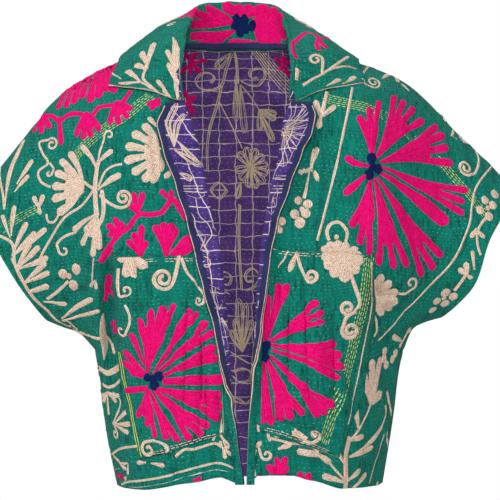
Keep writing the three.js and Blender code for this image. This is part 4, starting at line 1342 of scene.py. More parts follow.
def running(surface, colour, points, columns=1, gap=3.2, pitch=6.9, dash=5.1, width=1.0):
    """Rows of running stitch side by side, each stitch a small patch of its own."""
    spine, at = curve_through(surfaces[surface].flat(points), 3.0)
    way = unit(np.gradient(spine, axis=0))
    rng = np.random.default_rng(len(at) + columns)
    for column in range(columns):
        off = (column - (columns - 1) / 2) * gap
        start = pitch * rng.random()
        while start + dash < at[-1]:
            middle = start + np.array([0, 0.5, 1]) * dash * rng.uniform(0.9, 1.05)
            place = np.stack([np.interp(middle, at, spine[:, k]) for k in range(2)], -1)
            ahead = np.stack([np.interp(middle, at, way[:, k]) for k in range(2)], -1)
            place = place + np.stack([-ahead[:, 1], ahead[:, 0]], -1) * (off + rng.normal(0, 0.12))
            lay_patch(surface, colour, place, middle, np.array([0.4, 0.5, 0.4]) * width, 0.55, 0.0)
            start += pitch * rng.uniform(0.96, 1.04)


def band(surface, points, width):
    """A broad band of lime and yellow running stitch."""
    running(surface, "lime", points, round(width / 3.5), 3.4)


def bloom(surface, centre, size, turn, groups, lobes=3, heart=True):
    """An open flower: fingered groups of petals round a dark heart."""
    rng = np.random.default_rng(int(abs(centre[0]) * 7 + abs(centre[1])))
    for k in range(groups):
        angle = math.radians(turn) + (k + rng.uniform(-0.1, 0.1)) * 2 * np.pi / groups
        reach = size * rng.uniform(0.84, 1.06)
        fingers = angle + np.linspace(1, -1, lobes) * 0.66 * np.pi / groups
        tips = [(centre[0] + reach * math.cos(a), centre[1] + reach * math.sin(a)) for a in fingers]
        base = (centre[0] + 7 * math.cos(angle), centre[1] + 7 * math.sin(angle))
        palm(surface, "pink", base, tips, size * 0.13, 0.88)
    for place, radius in [((-7, 5), 8), ((4, 8), 7), ((8, -5), 8), ((-3, -7), 7), ((0, 1), 8)] * heart:
        disc(surface, "navy", (centre[0] + place[0], centre[1] + place[1]), radius, 1.6)


def turned(way, degrees):
    c, s = math.cos(math.radians(degrees)), math.sin(math.radians(degrees))
    return np.array([way[0] * c - way[1] * s, way[0] * s + way[1] * c])


def spray(surface, colour, stem, pairs, reach, width, spread=42):
    """A bent stem with leaves in pairs along it and one at its end."""
    line(surface, colour, stem, 4)
    spine, at = curve_through(stem, 3.0)
    way = unit(np.gradient(spine, axis=0))
    for k in range(pairs):
        i = int((0.2 + 0.66 * k / max(pairs - 1, 1)) * (len(at) - 1))
        for hand_way in (-1, 1):
            tip = spine[i] + reach * (1 - 0.08 * k) * turned(way[i], hand_way * spread)
            petal(surface, colour, tuple(spine[i]), tuple(tip), width, 0.35, -0.08 * hand_way)
    petal(surface, colour, tuple(spine[-1]), tuple(spine[-1] + 0.8 * reach * way[-1]), width, 0.4)


def berries(surface, colour, centre, radius=7):
    for degrees in range(20, 380, 72):
        away = turned((radius * 1.25, 0), degrees)
        disc(surface, colour, (centre[0] + away[0], centre[1] + away[1]), radius)
    disc(surface, colour, centre, radius * 0.7)

# %% [markdown]
# ## The left front
#
# The cloth was embroidered before it was cut, with the open flowers, split leaves and tendrils that are
# usual on chain stitch spreads. Each line here draws one of them from its base and tip, so the layout
# follows the jacket while every shape is the plain recipe above.

# %% Left shoulder and sleeve
palm("left", "pink", (-197, -22), [(-231, -75), (-217, -82), (-205, -75), (-194, -66), (-183, -68)], 17,
     0.85)
palm("left", "pink", (-227, -31), [(-267, -89), (-254, -88), (-242, -83)], 15, 0.85)
hand("left", "pink", (-170, -13), [(-175, -55), (-189, -34), (-197, -24)], 13)
line("left", "pink", [(-302, -119), (-289, -101), (-275, -98), (-263, -106), (-248, -98), (-233, -97),
                      (-217, -103), (-205, -89), (-189, -86), (-174, -85), (-164, -72), (-160, -65)], 7)
petal("left", "pink", (-263, -101), (-260, -141), 11, 0.7)
palm("left", "pink", (-287, -95), [(-302, -122), (-289, -124), (-277, -117)], 12, 0.9)
palm("left", "pink", (-222, -95), [(-238, -130), (-226, -135), (-215, -132), (-202, -123)], 13, 0.9)
palm("left", "pink", (-180, -80), [(-188, -115), (-175, -115), (-162, -106), (-157, -94)], 13, 0.9)
hand("left", "pink", (-118, -77), [(-136, -87), (-131, -94), (-121, -90)], 9)
band("left", [(-129, -72), (-146, -85), (-165, -101), (-191, -117), (-212, -132), (-231, -150),
              (-243, -166)], 16)
band("left", [(-289, -229), (-307, -237), (-327, -249), (-347, -263)], 14)
curl("left", "cream", (-274, -139), 10, 200, 1.3, 3.2,
     [(-274, -201), (-288, -193), (-292, -179), (-279, -166), (-287, -152), (-292, -137)], -1)
curl("left", "cream", (-277, -181), 5, 90, 0.9, 3, [(-277, -166), (-271, -174)], -1)
petal("left", "cream", (-342, -232), (-316, -131), 10, 0.3, 0.04)
petal("left", "cream", (-324, -196), (-301, -161), 8, 0.4)
petal("left", "cream", (-328, -207), (-306, -183), 7, 0.4)
line("left", "cream", [(-353, -171), (-346, -204), (-342, -232)], 3)
palm("left", "cream", (-225, -201), [(-248, -151), (-262, -162), (-269, -179), (-272, -199), (-272, -218),
                                     (-263, -239)], 15)
petal("left", "cream", (-226, -196), (-255, -171), 14, 0.5)
petal("left", "cream", (-225, -206), (-251, -225), 13, 0.5)
petal("left", "cream", (-206, -175), (-230, -142), 9, 0.5, -0.05)
line("left", "cream", [(-205, -242), (-208, -206), (-206, -178), (-203, -164)], 6)
petal("left", "cream", (-204, -169), (-183, -150), 9, 0.4, 0.06)
curl("left", "cream", (-189, -129), 8, 150, 0.9, 3, [(-204, -168), (-202, -153), (-197, -137)], -1)
petal("left", "cream", (-204, -206), (-171, -184), 10, 0.3, 0.03)
line("left", "cream", [(-203, -202), (-194, -181), (-183, -173), (-170, -170)], 3)
curl("left", "cream", (-168, -217), 11, -80, 1.5, 3.4,
     [(-201, -213), (-190, -223), (-174, -231), (-163, -229)], 1)
line("left", "cream", [(-225, -194), (-214, -202), (-206, -206)], 3.4)
line("left", "cream", [(-198, -206), (-195, -226), (-197, -245), (-203, -256)], 5)
line("left", "cream", [(-210, -206), (-227, -227), (-251, -243), (-271, -270), (-283, -290), (-291, -307)],
     3)
line("left", "cream", [(-280, -239), (-277, -250), (-267, -250), (-260, -239)], 3)
palm("left", "cream", (-205, -240), [(-241, -263), (-228, -284), (-212, -300), (-203, -290)], 11)
curl("left", "cream", (-254, -290), 9, 130, 0.8, 3, [(-236, -265), (-251, -270), (-263, -280)], 1)
palm("left", "cream", (-117, -156), [(-141, -114), (-156, -126), (-166, -145), (-167, -166), (-156, -184),
                                     (-140, -195), (-128, -197), (-117, -181)], 15)
petal("left", "cream", (-117, -151), (-135, -131), 15, 0.6)
petal("left", "cream", (-117, -162), (-135, -179), 14, 0.6)
petal("left", "cream", (-120, -118), (-134, -104), 8, 0.5)
petal("left", "cream", (-98, -176), (-110, -190), 9, 0.5)
hand("left", "cream", (-291, -229), [(-300, -213), (-284, -211), (-289, -240)], 8, 0.6)
petal("left", "cream", (-331, -270), (-327, -226), 9, 0.3)
petal("left", "cream", (-332, -273), (-345, -239), 7, 0.3)
hand("left", "cream", (-329, -299), [(-308, -250), (-295, -264), (-280, -259)], 9)
line("left", "cream", [(-347, -270), (-329, -281), (-326, -307)], 4)
hand("left", "cream", (-323, -318), [(-303, -280), (-289, -284), (-277, -300)], 9)
hand("left", "cream", (-313, -338), [(-280, -307), (-275, -321)], 9)
petal("left", "cream", (-307, -351), (-277, -341), 10, 0.7)
line("left", "cream", [(-329, -301), (-315, -333), (-302, -356), (-284, -375), (-265, -394), (-236, -407),
                       (-202, -417)], 4.5)
disc("left", "cream", (-256, -324), 7.5)
disc("left", "cream", (-237, -317), 8.5)
disc("left", "cream", (-242, -340), 8.5)
disc("left", "cream", (-248, -327), 5)
line("left", "cream", [(-249, -334), (-264, -348), (-281, -360)], 4)
petal("left", "cream", (-286, -364), (-252, -367), 8, 0.4)
petal("left", "cream", (-261, -388), (-214, -359), 10, 0.3, 0.04)
petal("left", "cream", (-258, -390), (-203, -376), 8, 0.4)
curl("left", "cream", (-245, -402), 7, 100, 0.7, 3, [(-261, -391), (-252, -392)], -1)
petal("left", "cream", (-210, -301), (-214, -344), 3, 0.8)
hand("left", "cream", (-208, -332), [(-218, -342), (-208, -346)], 6)

# %% Below the left sleeve, beside the pocket
leaf("left", "cream", (-200, -447), (-199, -380), 17)
petal("left", "cream", (-197, -411), (-185, -439), 8, 0.5)
petal("left", "pink", (-196, -363), (-188, -324), 12, 0.5)
line("left", "pink", [(-191, -346), (-179, -360), (-175, -380), (-184, -403)], 7)
hand("left", "pink", (-176, -386), [(-190, -398), (-186, -409)], 9)
petal("left", "cream", (-210, -453), (-175, -454), 10, 0.8, -0.12)
line("left", "cream", [(-209, -466), (-201, -484), (-188, -485), (-175, -474)], 4)
hand("left", "cream", (-196, -493), [(-208, -492), (-201, -508), (-193, -526), (-182, -506), (-177, -497)],
     8)
line("left", "cream", [(-187, -494), (-176, -503), (-180, -520), (-187, -538)], 3)
hand("left", "cream", (-185, -538), [(-165, -517), (-158, -535), (-162, -548)], 8)
curl("left", "cream", (-184, -552), 8, 120, 1.1, 3, [(-185, -539)], 1)
line("left", "cream", [(-196, -577), (-176, -573), (-149, -566)], 3)
petal("left", "cream", (-186, -585), (-167, -602), 8, 0.4)
hand("left", "cream", (-164, -592), [(-175, -595), (-166, -610)], 6)
petal("left", "cream", (-194, -582), (-190, -608), 6, 0.5)

# %% Above the left pocket
line("left", "pink", [(-199, -298), (-187, -284), (-173, -268), (-161, -259), (-147, -241), (-131, -241),
                      (-114, -237), (-100, -220), (-89, -232), (-80, -247)], 7)
hand("left", "pink", (-147, -240), [(-154, -209), (-140, -209), (-159, -227)], 10)
hand("left", "pink", (-100, -222), [(-117, -206), (-101, -206), (-92, -220)], 9)
hand("left", "pink", (-170, -268), [(-191, -254), (-180, -244), (-170, -250), (-190, -268)], 10)
petal("left", "pink", (-202, -307), (-184, -284), 12, 0.7)
palm("left", "pink", (-143, -301), [(-163, -276), (-154, -265), (-142, -255), (-135, -277)], 12)
palm("left", "pink", (-108, -301), [(-125, -255), (-112, -251), (-100, -252), (-93, -259)], 13)
petal("left", "pink", (-101, -298), (-72, -271), 15, 0.6)
petal("left", "pink", (-92, -301), (-71, -282), 13, 0.6)
petal("left", "cream", (-131, -307), (-175, -303), 6, 0.8)

# %% Left pocket
palm("pocket_left", "pink", (-133, -461), [(-145, -384), (-129, -371), (-112, -367), (-94, -364)], 13, 0.86)
petal("pocket_left", "pink", (-137, -450), (-157, -405), 9, 0.5)
for tip in [(-166, -431), (-169, -447)]:
    petal("pocket_left", "pink", (-134, -465), tip, 10, 0.6)
petal("pocket_left", "pink", (-135, -466), (-159, -459), 12, 0.7)
palm("pocket_left", "pink", (-125, -462), [(-75, -371), (-64, -376)], 10, 0.9)
palm("pocket_left", "pink", (-117, -458), [(-50, -389), (-41, -403)], 12, 0.9)
palm("pocket_left", "pink", (-114, -465), [(-39, -424), (-36, -439)], 14, 0.9)
petal("pocket_left", "pink", (-113, -473), (-27, -470), 15, 0.7)
palm("pocket_left", "pink", (-120, -483), [(-30, -492), (-25, -509), (-32, -525)], 15, 0.85)
palm("pocket_left", "pink", (-126, -483), [(-47, -537), (-57, -549), (-74, -555)], 13, 0.9)
palm("pocket_left", "pink", (-131, -486), [(-90, -559), (-106, -555)], 13, 0.9)
palm("pocket_left", "pink", (-134, -485), [(-121, -553), (-134, -538), (-147, -525)], 11, 0.85)
petal("pocket_left", "pink", (-133, -483), (-166, -488), 9, 0.9)
for centre, radius in [((-134, -468), 6), ((-117, -466), 7), ((-124, -479), 7.5), ((-126, -470), 6)]:
    disc("pocket_left", "navy", centre, radius, 1.5)
hand("pocket_left", "cream", (-158, -297), [(-174, -303), (-164, -328), (-152, -329), (-135, -314)], 13,
     0.9)
curl("pocket_left", "cream", (-163, -346), 8, 100, 1.0, 3, [(-173, -315), (-174, -335), (-172, -354)], 1)
curl("pocket_left", "cream", (-170, -403), 9, 60, 0.9, 3, [(-165, -366), (-159, -380), (-159, -394)], -1)
curl("pocket_left", "cream", (-112, -330), 15, -30, 1.6, 4, [(-90, -298), (-93, -318), (-97, -335)], -1)
line("pocket_left", "cream", [(-87, -301), (-78, -322), (-64, -339), (-53, -354)], 3.4)
curl("pocket_left", "cream", (-62, -360), 8, 30, 1.2, 3.2, [(-54, -350)], -1)
line("pocket_left", "lime", [(-175, -434), (-168, -473), (-160, -508), (-153, -543), (-146, -580)], 1.5)
line("pocket_left", "lime", [(-172, -434), (-165, -473), (-157, -508), (-150, -543), (-142, -580)], 1.5)
running("pocket_left", "cream", [(-178, -304), (-144, -304), (-103, -304), (-64, -303)], 2, 3.2)
running("pocket_left", "cream", [(-137, -577), (-103, -567), (-68, -556), (-33, -546)], 2, 3.2)
running("pocket_right", "cream", [(48, -293), (78, -296), (120, -297), (173, -300)], 2, 3.2)
running("pocket_right", "cream", [(28, -538), (57, -546), (92, -561), (121, -573)], 2, 3.2)
curl("pocket_left", "cream", (-132, -569), 11, 200, 1.0, 3.4,
     [(-104, -581), (-107, -565), (-123, -557), (-137, -559)], 1)
petal("left", "cream", (-137, -589), (-151, -590), 7, 0.6)
petal("left", "cream", (-130, -589), (-110, -592), 8, 0.3)
line("left", "cream", [(-95, -578), (-83, -569), (-69, -568), (-53, -563), (-39, -560), (-30, -566)], 3.4)
line("left", "cream", [(-43, -556), (-37, -544), (-30, -552), (-19, -563), (-11, -575)], 3)
hand("left", "cream", (-29, -566), [(-25, -581), (-18, -564), (-14, -577), (-34, -556)], 6)
petal("pocket_left", "cream", (-27, -524), (-30, -546), 4, 0.7)

# %% Left hem
line("left", "cream", [(-197, -597), (-189, -617), (-166, -620), (-139, -614), (-106, -606), (-75, -596),
                       (-44, -588), (-25, -589), (-4, -600)], 2.6)
line("left", "white", [(-181, -626), (-139, -623), (-106, -615), (-75, -605), (-44, -597), (-22, -598)],
     1.4)
hand("left", "pink", (-61, -619), [(-69, -608), (-62, -605), (-55, -612)], 8)
petal("left", "pink", (-95, -628), (-89, -620), 9, 0.7)
petal("left", "pink", (-189, -629), (-181, -620), 8, 0.7)
petal("left", "cream", (-177, -636), (-163, -630), 6, 0.6)
line("left", "cream", [(-41, -488), (-39, -504), (-33, -527), (-30, -549), (-23, -568)], 2)

# %% [markdown]
# ## The right front
#
# One large pink flower with a navy heart fills the shoulder, a second is cut off by the front edge, and
# a broad band of lime running stitch crosses between them, half hidden under the petals.

# %% Right shoulder and sleeve
band("right", [(110, -75), (129, -81), (152, -86), (179, -93), (200, -101), (221, -115)], 19)
band("right", [(221, -115), (238, -130), (262, -148), (285, -170), (306, -195), (328, -220), (350, -249)],
     13)
palm("right", "pink", (179, -164), [(161, -102), (176, -89), (192, -78)], 13, 0.85)
palm("right", "pink", (185, -161), [(215, -69), (230, -75), (244, -86), (257, -104)], 15, 0.88)
palm("right", "pink", (191, -167), [(277, -112), (287, -125), (292, -144), (298, -167)], 15, 0.88)
palm("right", "pink", (192, -173), [(319, -206), (314, -222), (313, -239)], 12, 0.86)
petal("right", "pink", (190, -181), (289, -253), 22, 0.3, 0.03)
palm("right", "pink", (186, -188), [(282, -300), (270, -318), (253, -328)], 13, 0.88)
palm("right", "pink", (182, -190), [(230, -314), (211, -317), (190, -312)], 13, 0.88)
palm("right", "pink", (177, -190), [(177, -300), (162, -283), (149, -259)], 13, 0.84)
petal("right", "pink", (173, -183), (140, -213), 12, 0.4)
petal("right", "pink", (175, -173), (141, -160), 10, 0.5, 0.1)
for centre, radius in [((178, -162), 8), ((188, -177), 7.5), ((175, -185), 8), ((179, -174), 7)]:
    disc("right", "navy", centre, radius, 1.6)
curl("right", "cream", (185, -50), 13, 190, 1.5, 3.6, [(179, -21), (171, -36), (170, -52)], 1)
petal("right", "cream", (208, -33), (224, -48), 9, 0.6)
petal("right", "cream", (227, -50), (240, -61), 9, 0.6)
petal("right", "cream", (281, -89), (291, -104), 7, 0.6)
petal("right", "cream", (302, -112), (313, -131), 9, 0.6)
petal("right", "cream", (319, -129), (331, -144), 9, 0.6)
curl("right", "cream", (317, -173), 12, -10, 1.5, 3.4, [(332, -145), (337, -161), (332, -178)], -1)
line("right", "cream", [(357, -170), (334, -196), (325, -223), (321, -250), (311, -277), (295, -308),
                        (268, -337), (235, -371), (212, -397), (190, -419)], 2.6)
for centre, radius in [((359, -210), 7), ((344, -219), 6.5), ((355, -226), 6.5), ((336, -233), 6.5),
                       ((349, -242), 7),
                       ((348, -230), 4)]:
    disc("right", "cream", centre, radius)
line("right", "cream", [(346, -242), (337, -253), (331, -266), (332, -284), (336, -297)], 3.4)
hand("right", "cream", (330, -259), [(322, -273), (332, -270), (342, -273)], 8)
petal("right", "cream", (327, -318), (324, -290), 6, 0.5)
hand("right", "cream", (318, -327), [(305, -316), (315, -307), (325, -330)], 9)
line("right", "cream", [(318, -321), (310, -334), (300, -348)], 4)
for centre, radius in [((288, -351), 7.5), ((299, -357), 7), ((276, -363), 6.5), ((288, -367), 7),
                       ((271, -376), 6.5),
                       ((286, -359), 4)]:
    disc("right", "cream", centre, radius)

# %% Beside the right lapel
hand("right", "cream", (108, -104), [(100, -80), (129, -88), (104, -121)], 9, 0.5)
line("right", "cream", [(109, -100), (117, -68)], 4)
line("right", "cream", [(153, -61), (145, -98), (130, -167), (116, -225), (102, -277)], 3)
hand("right", "cream", (94, -176), [(102, -146), (77, -183), (105, -194)], 9, 0.5)
line("right", "cream", [(92, -178), (88, -198), (84, -218)], 3.6)
for centre, radius in [((76, -221), 6), ((90, -226), 6.5), ((71, -240), 7), ((87, -239), 7), ((78, -252), 8),
                       ((81, -233), 4)]:
    disc("right", "cream", centre, radius)
disc("right", "cream", (53, -250), 6)
disc("right", "cream", (50, -262), 5)
line("right", "cream", [(49, -255), (45, -265)], 3)

# %% Right pocket
hand("pocket_right", "cream", (137, -293), [(108, -301), (112, -315), (123, -328), (141, -335), (159, -322),
                                            (166, -307)], 16, 0.8)
hand("right", "cream", (135, -300), [(108, -286), (117, -279), (130, -276), (144, -279), (159, -287),
                                     (165, -296)], 14, 0.9)
line("right", "cream", [(142, -279), (144, -266), (138, -255), (130, -251), (120, -255), (116, -266),
                        (119, -277)], 3.6)
disc("right", "cream", (129, -272), 3.6)
curl("pocket_right", "cream", (144, -370), 11, 20, 1.4, 4, [(148, -321), (155, -343), (160, -363)], -1)
curl("pocket_right", "cream", (148, -402), 13, 130, 1.6, 4, [(155, -374), (143, -383)], 1)
petal("pocket_right", "cream", (73, -291), (88, -284), 7, 0.5)
petal("pocket_right", "cream", (74, -293), (63, -321), 9, 0.4)
curl("pocket_right", "cream", (94, -326), 9, -60, 1.2, 3.4, [(74, -296), (80, -316), (89, -333)], 1)
petal("right", "cream", (39, -289), (50, -294), 8, 0.5)
line("pocket_right", "cream", [(62, -291), (55, -304), (48, -315)], 1.6)
curl("right", "cream", (34, -329), 5, 90, 0.8, 2.4, [(37, -321)], -1)
band("pocket_right", [(175, -296), (171, -325), (165, -360), (158, -395), (151, -430), (142, -463),
                      (132, -494), (119, -535), (109, -565)], 17)
line("pocket_right", "cream", [(178, -307), (177, -346), (173, -383), (164, -442), (153, -497),
                               (143, -534)], 1.5)
line("right", "cream", [(142, -534), (130, -557), (122, -575)], 1.5)
petal("pocket_right", "pink", (31, -418), (32, -351), 12, 0.6)
palm("pocket_right", "pink", (34, -412), [(49, -335), (62, -336)], 12, 0.9)
palm("pocket_right", "pink", (37, -417), [(103, -361), (110, -375), (110, -389)], 13, 0.88)
palm("pocket_right", "pink", (38, -422), [(130, -421), (136, -438), (139, -455)], 15, 0.88)
petal("pocket_right", "pink", (39, -429), (134, -470), 12, 0.5, 0.04)
palm("pocket_right", "pink", (37, -436), [(125, -509), (115, -519), (104, -523)], 13, 0.88)
palm("pocket_right", "pink", (32, -440), [(83, -520), (67, -525), (52, -529)], 14, 0.88)
palm("pocket_right", "pink", (28, -440), [(38, -534), (25, -532)], 12, 0.9)
for centre, radius in [((27, -429), 8), ((32, -422), 6.5), ((30, -440), 6.5)]:
    disc("pocket_right", "navy", centre, radius, 1.5)

# %% Beside and below the right pocket
hand("right", "cream", (185, -356), [(195, -324), (208, -334), (218, -349), (217, -364), (210, -374),
                                     (197, -382)], 15, 0.8)
petal("right", "cream", (185, -332), (186, -377), 12, 0.9)
curl("right", "cream", (237, -337), 11, -90, 1.0, 3.6, [(218, -351), (228, -352)], 1)
line("right", "cream", [(183, -380), (187, -392), (188, -405), (184, -413)], 3.6)
petal("right", "cream", (179, -403), (178, -425), 11, 0.6)
petal("right", "cream", (172, -433), (172, -442), 5, 0.6)
hand("right", "cream", (180, -505), [(167, -461), (182, -444), (195, -442), (195, -492)], 15, 0.8)
line("right", "cream", [(180, -505), (172, -525), (161, -543), (149, -558)], 3.4)
line("right", "cream", [(149, -552), (143, -577), (143, -599), (144, -619), (141, -637)], 7)
petal("right", "cream", (161, -540), (156, -510), 10, 0.5)
petal("right", "cream", (145, -558), (169, -552), 9, 0.5)
petal("right", "cream", (148, -581), (197, -542), 9, 0.4, -0.03)
line("right", "cream", [(194, -546), (201, -525), (200, -511)], 2.4)
petal("right", "cream", (149, -581), (183, -569), 9, 0.4)
petal("right", "cream", (140, -589), (129, -570), 7, 0.4)
petal("right", "cream", (142, -616), (109, -605), 10, 0.5)
petal("right", "cream", (145, -616), (164, -599), 9, 0.4)
petal("right", "cream", (152, -628), (174, -606), 9, 0.5)
petal("right", "cream", (104, -575), (73, -570), 10, 0.8)
petal("right", "cream", (101, -574), (122, -588), 9, 0.4)
line("right", "cream", [(118, -585), (129, -599), (142, -613)], 3)
line("right", "cream", [(200, -553), (193, -578), (184, -603), (179, -622)], 2)
hand("right", "cream", (227, -421), [(240, -401), (211, -412), (221, -430)], 9)
for centre, radius in [((201, -434), 6), ((216, -437), 6), ((200, -445), 6.5), ((212, -446), 6),
                       ((203, -454), 6.5)]:
    disc("right", "cream", centre, radius)
petal("right", "cream", (211, -528), (203, -491), 8, 0.3)
petal("right", "cream", (206, -575), (205, -549), 6, 0.5)
petal("right", "cream", (190, -630), (192, -620), 8, 0.6)
curl("right", "cream", (46, -546), 8, 180, 0.9, 3.4, [(37, -556), (34, -546)], -1)
petal("pocket_right", "cream", (87, -553), (66, -542), 9, 0.5)
curl("pocket_right", "cream", (98, -548), 9, -80, 1.1, 3.6, [(83, -555), (92, -559)], 1)
petal("right", "cream", (48, -567), (67, -559), 9, 0.5)
line("right", "cream", [(37, -552), (53, -556), (70, -560), (90, -563), (104, -572)], 3)
petal("right", "cream", (13, -566), (25, -557), 8, 0.5)
petal("right", "cream", (21, -543), (18, -532), 6, 0.6)
curl("right", "cream", (32, -575), 8, 150, 1.0, 3.2, [(20, -563), (23, -573)], -1)
line("right", "cream", [(17, -568), (13, -585), (16, -605)], 3)
hand("right", "pink", (49, -605), [(32, -589), (45, -578), (59, -577), (62, -591)], 10, 0.7)
hand("right", "pink", (87, -619), [(76, -599), (91, -600), (97, -611)], 10, 0.7)
line("right", "cream", [(9, -503), (10, -541), (10, -575), (9, -607)], 2)

# %% Collar
hand("collar", "cream", (0, 39), [(26, 61), (10, 52)], 9)
blade("collar", "cream", [(0, 29), (31, 30), (66, 37), (116, 53)], 15)
petal("collar", "cream", (26, 31), (60, 48), 8, 0.4)
petal("collar", "cream", (49, 34), (85, 57), 8, 0.4)
line("collar", "cream", [(0, 45), (0, 58), (5, 69), (17, 85)], 4)
hand("collar", "cream", (17, 85), [(54, 110), (10, 121)], 11, 0.4)
line("collar", "cream", [(28, 115), (43, 125), (60, 135)], 2.4)
line("collar", "cream", [(0, 58), (10, 70), (26, 82), (49, 79)], 4)
petal("collar", "cream", (46, 79), (105, 80), 11, 0.6)
petal("collar", "cream", (46, 79), (63, 99), 11, 0.6)
petal("collar", "cream", (60, 81), (91, 97), 10, 0.6)
curl("collar", "cream", (162, 72), 8, 0, 0.7, 3, [], 1)
line("collar", "cream", [(0, 70), (0, 79), (0, 84)], 2.4)
line("collar", "pink", [(512, 35), (487, 40), (462, 53), (443, 65), (455, 76), (477, 81)], 7)
hand("collar", "pink", (470, 76), [(392, 135), (493, 90), (503, 76)], 9)
petal("collar", "pink", (509, 35), (519, 41), 12, 0.7)
curl("collar", "cream", (522, 68), 11, -40, 1.3, 4, [(553, 75), (534, 78)], 1)
line("collar", "cream", [(564, 39), (559, 53), (551, 75), (531, 97), (493, 123)], 4)
line("collar", "cream", [(546, 81), (534, 101), (525, 119), (525, 131)], 4)
petal("collar", "cream", (555, 33), (534, 39), 8, 0.6)
petal("collar", "cream", (580, 76), (562, 99), 10, 0.4)
petal("collar", "cream", (580, 100), (551, 125), 10, 0.4)
for base, tips, width in [((288, 46), [(233, 69), (202, 58), (186, 39)], 15),
                          ((288, 33), [(193, 21), (215, 9), (244, 13)], 14),
                          ((303, 54), [(264, 74), (291, 73), (318, 72), (348, 69)], 21),
                          ((322, 45), [(369, 62), (403, 49), (410, 26), (382, 11), (351, 13)], 26),
                          ((306, 18), [(276, 14), (333, 9)], 13)]:
    for tip in tips:
        petal("collar", "pink", base, tip, width, 0.45)
for tip in [(212, 79), (186, 76), (172, 49)]:
    petal("collar", "pink", (212, 63), tip, 14, 0.7)
for centre, radius in [((291, 50), 9), ((306, 50), 9), ((322, 40), 9), ((310, 36), 8), ((299, 32), 9),
                       ((288, 42), 8), ((303, 45), 11)]:
    disc("collar", "navy", centre, radius, 1.7)

# %% [markdown]
# ## The inside
#
# Chain stitch leaves plain straight threads on the wrong side, so the lapels and the inside of the back
# show thin doubled outlines of the flowers on the other side.

# %% Backs of the stitches on the lapels
REVERSE = {"lapel_left": "grey", "lapel_right": "grey", "inside": "pale"}


def loop(surface, base, tip, width):
    """The outline of a petal, gone round twice."""
    a, b = np.array(base, float), np.array(tip, float)
    aside = unit(np.array([-(b - a)[1], (b - a)[0]]))
    for size in (1.0, 0.45):
        half = aside * width / 2 * size
        end = mix(a, b, 0.9 + 0.08 * size)
        line(surface, REVERSE[surface], [a, mix(a, end, 0.45) + half * 0.8, mix(a, end, 0.85) + half, end,
                                         mix(a, end, 0.85) - half, mix(a, end, 0.45) - half * 0.8, a], 1.6,
                                         1.0)


def threads(surface, base, tips, width=1.5):
    """Straight threads to and fro between a base and its tips."""
    for i, tip in enumerate(tips):
        line(surface, "grey", [base, tip], width, 0.35)
        if i + 1 < len(tips):
            line(surface, "grey", [tip, tips[i + 1]], width, 0.35)


fan = [(-84, 28), (-84, 20), (-88, 12), (-93, 9), (-97, 8), (-106, 8), (-115, 8), (-120, 11),
       (-129, 14), (-138, 13), (-147, 12), (-156, 15), (-169, 16), (-174, 20), (-169, 38)]
threads("lapel_right", (-124, 43), fan, 1.7)
threads("lapel_right", (-129, 41), fan[4:12], 1.4)
for ends in [((-187, 31), (-187, 11)), ((-192, 30), (-192, 9)), ((-201, 27), (-201, 9)),
             ((-205, 25), (-205, 8))]:
    line("lapel_right", "grey", ends, 1.8, 0.35)
threads("lapel_right", (-218, 20), [(-205, 17), (-218, 14), (-232, 9), (-241, 12), (-227, 29)])
line("lapel_right", "grey", [(-250, 12), (-277, 9), (-308, 6), (-339, 6)], 2, 0.35)
loop("lapel_left", (-147, 17), (-84, 16), 8)
loop("lapel_left", (-147, 17), (-98, 36), 8)
loop("lapel_left", (-151, 17), (-174, 48), 9)
loop("lapel_left", (-138, 23), (-169, 45), 6)
loop("lapel_left", (-183, 12), (-192, 26), 9)
line("lapel_left", "tape", [(-89, 0), (-84, 3), (-84, 16), (-84, 24)], 7, 0.8)
line("lapel_right", "tape", [(-88, 0), (-84, 5), (-84, 16), (-84, 30)], 7, 0.8)
for ends in [((-201, 11), (-201, 44)), ((-205, 11), (-205, 44))]:
    line("lapel_left", "grey", ends, 1.8, 0.35)
line("lapel_left", "grey", [(-214, 14), (-218, 27), (-214, 38)], 1.6, 0.35)
line("lapel_left", "grey", [(-218, 24), (-241, 20), (-254, 30), (-268, 32), (-277, 24), (-286, 16)], 2,
     0.35)
threads("lapel_left", (-281, 17), [(-263, 15), (-272, 22), (-290, 9), (-295, 21)])
curl("lapel_left", "grey", (-308, 13), 9, 0, 1.0, 1.8, [], 1)
threads("lapel_left", (-342, 18), [(-338, 9), (-359, 13), (-373, 16), (-349, 32)])
threads("lapel_left", (-401, 15), [(-384, 14), (-423, 22), (-430, 16)])
line("lapel_left", "grey", [(-384, 15), (-416, 22), (-449, 16)], 2.4, 0.35)

# %% Backs of the stitches inside the back
def thread_shape(surface, points, width=1.5):
    """The outline of a shape, gone round twice."""
    for shift in (0.0, 2.4):
        line(surface, REVERSE[surface], [(x + shift, up - shift * 0.6) for x, up in points], width + 0.3,
             1.0)


thread_shape("inside", [(-19, 2), (-28, -20), (-35, -43), (-52, -51), (-69, -46), (-73, -36), (-64, -26),
                        (-51, -26), (-46, -33), (-51, -40)], 1.3)
loop("inside", (-19, 2), (-43, -19), 11)
thread_shape("inside", [(-35, -43), (-42, -72), (-53, -107), (-57, -140), (-56, -171)], 1.3)
line("inside", "pale", [(-38, -67), (-21, -99), (-3, -137)], 1.7, 1.0)
thread_shape("inside", [(-27, -200), (-39, -212), (-51, -200), (-39, -188), (-27, -200)], 1.3)
line("inside", "pale", [(-50, -200), (-29, -200)], 1.7, 1.0)
thread_shape("inside", [(-15, 2), (-12, -17), (-11, -40)], 1.6)
loop("inside", (-12, -37), (-12, -98), 9)
loop("inside", (-6, -43), (1, -116), 9)
thread_shape("inside", [(-5, -37), (7, -43), (21, -43), (30, -31), (28, -21), (16, -19), (7, -24),
                        (10, -33), (19, -31)], 1.3)
line("inside", "pale", [(-5, -43), (9, -60), (22, -79)], 1.7, 1.0)
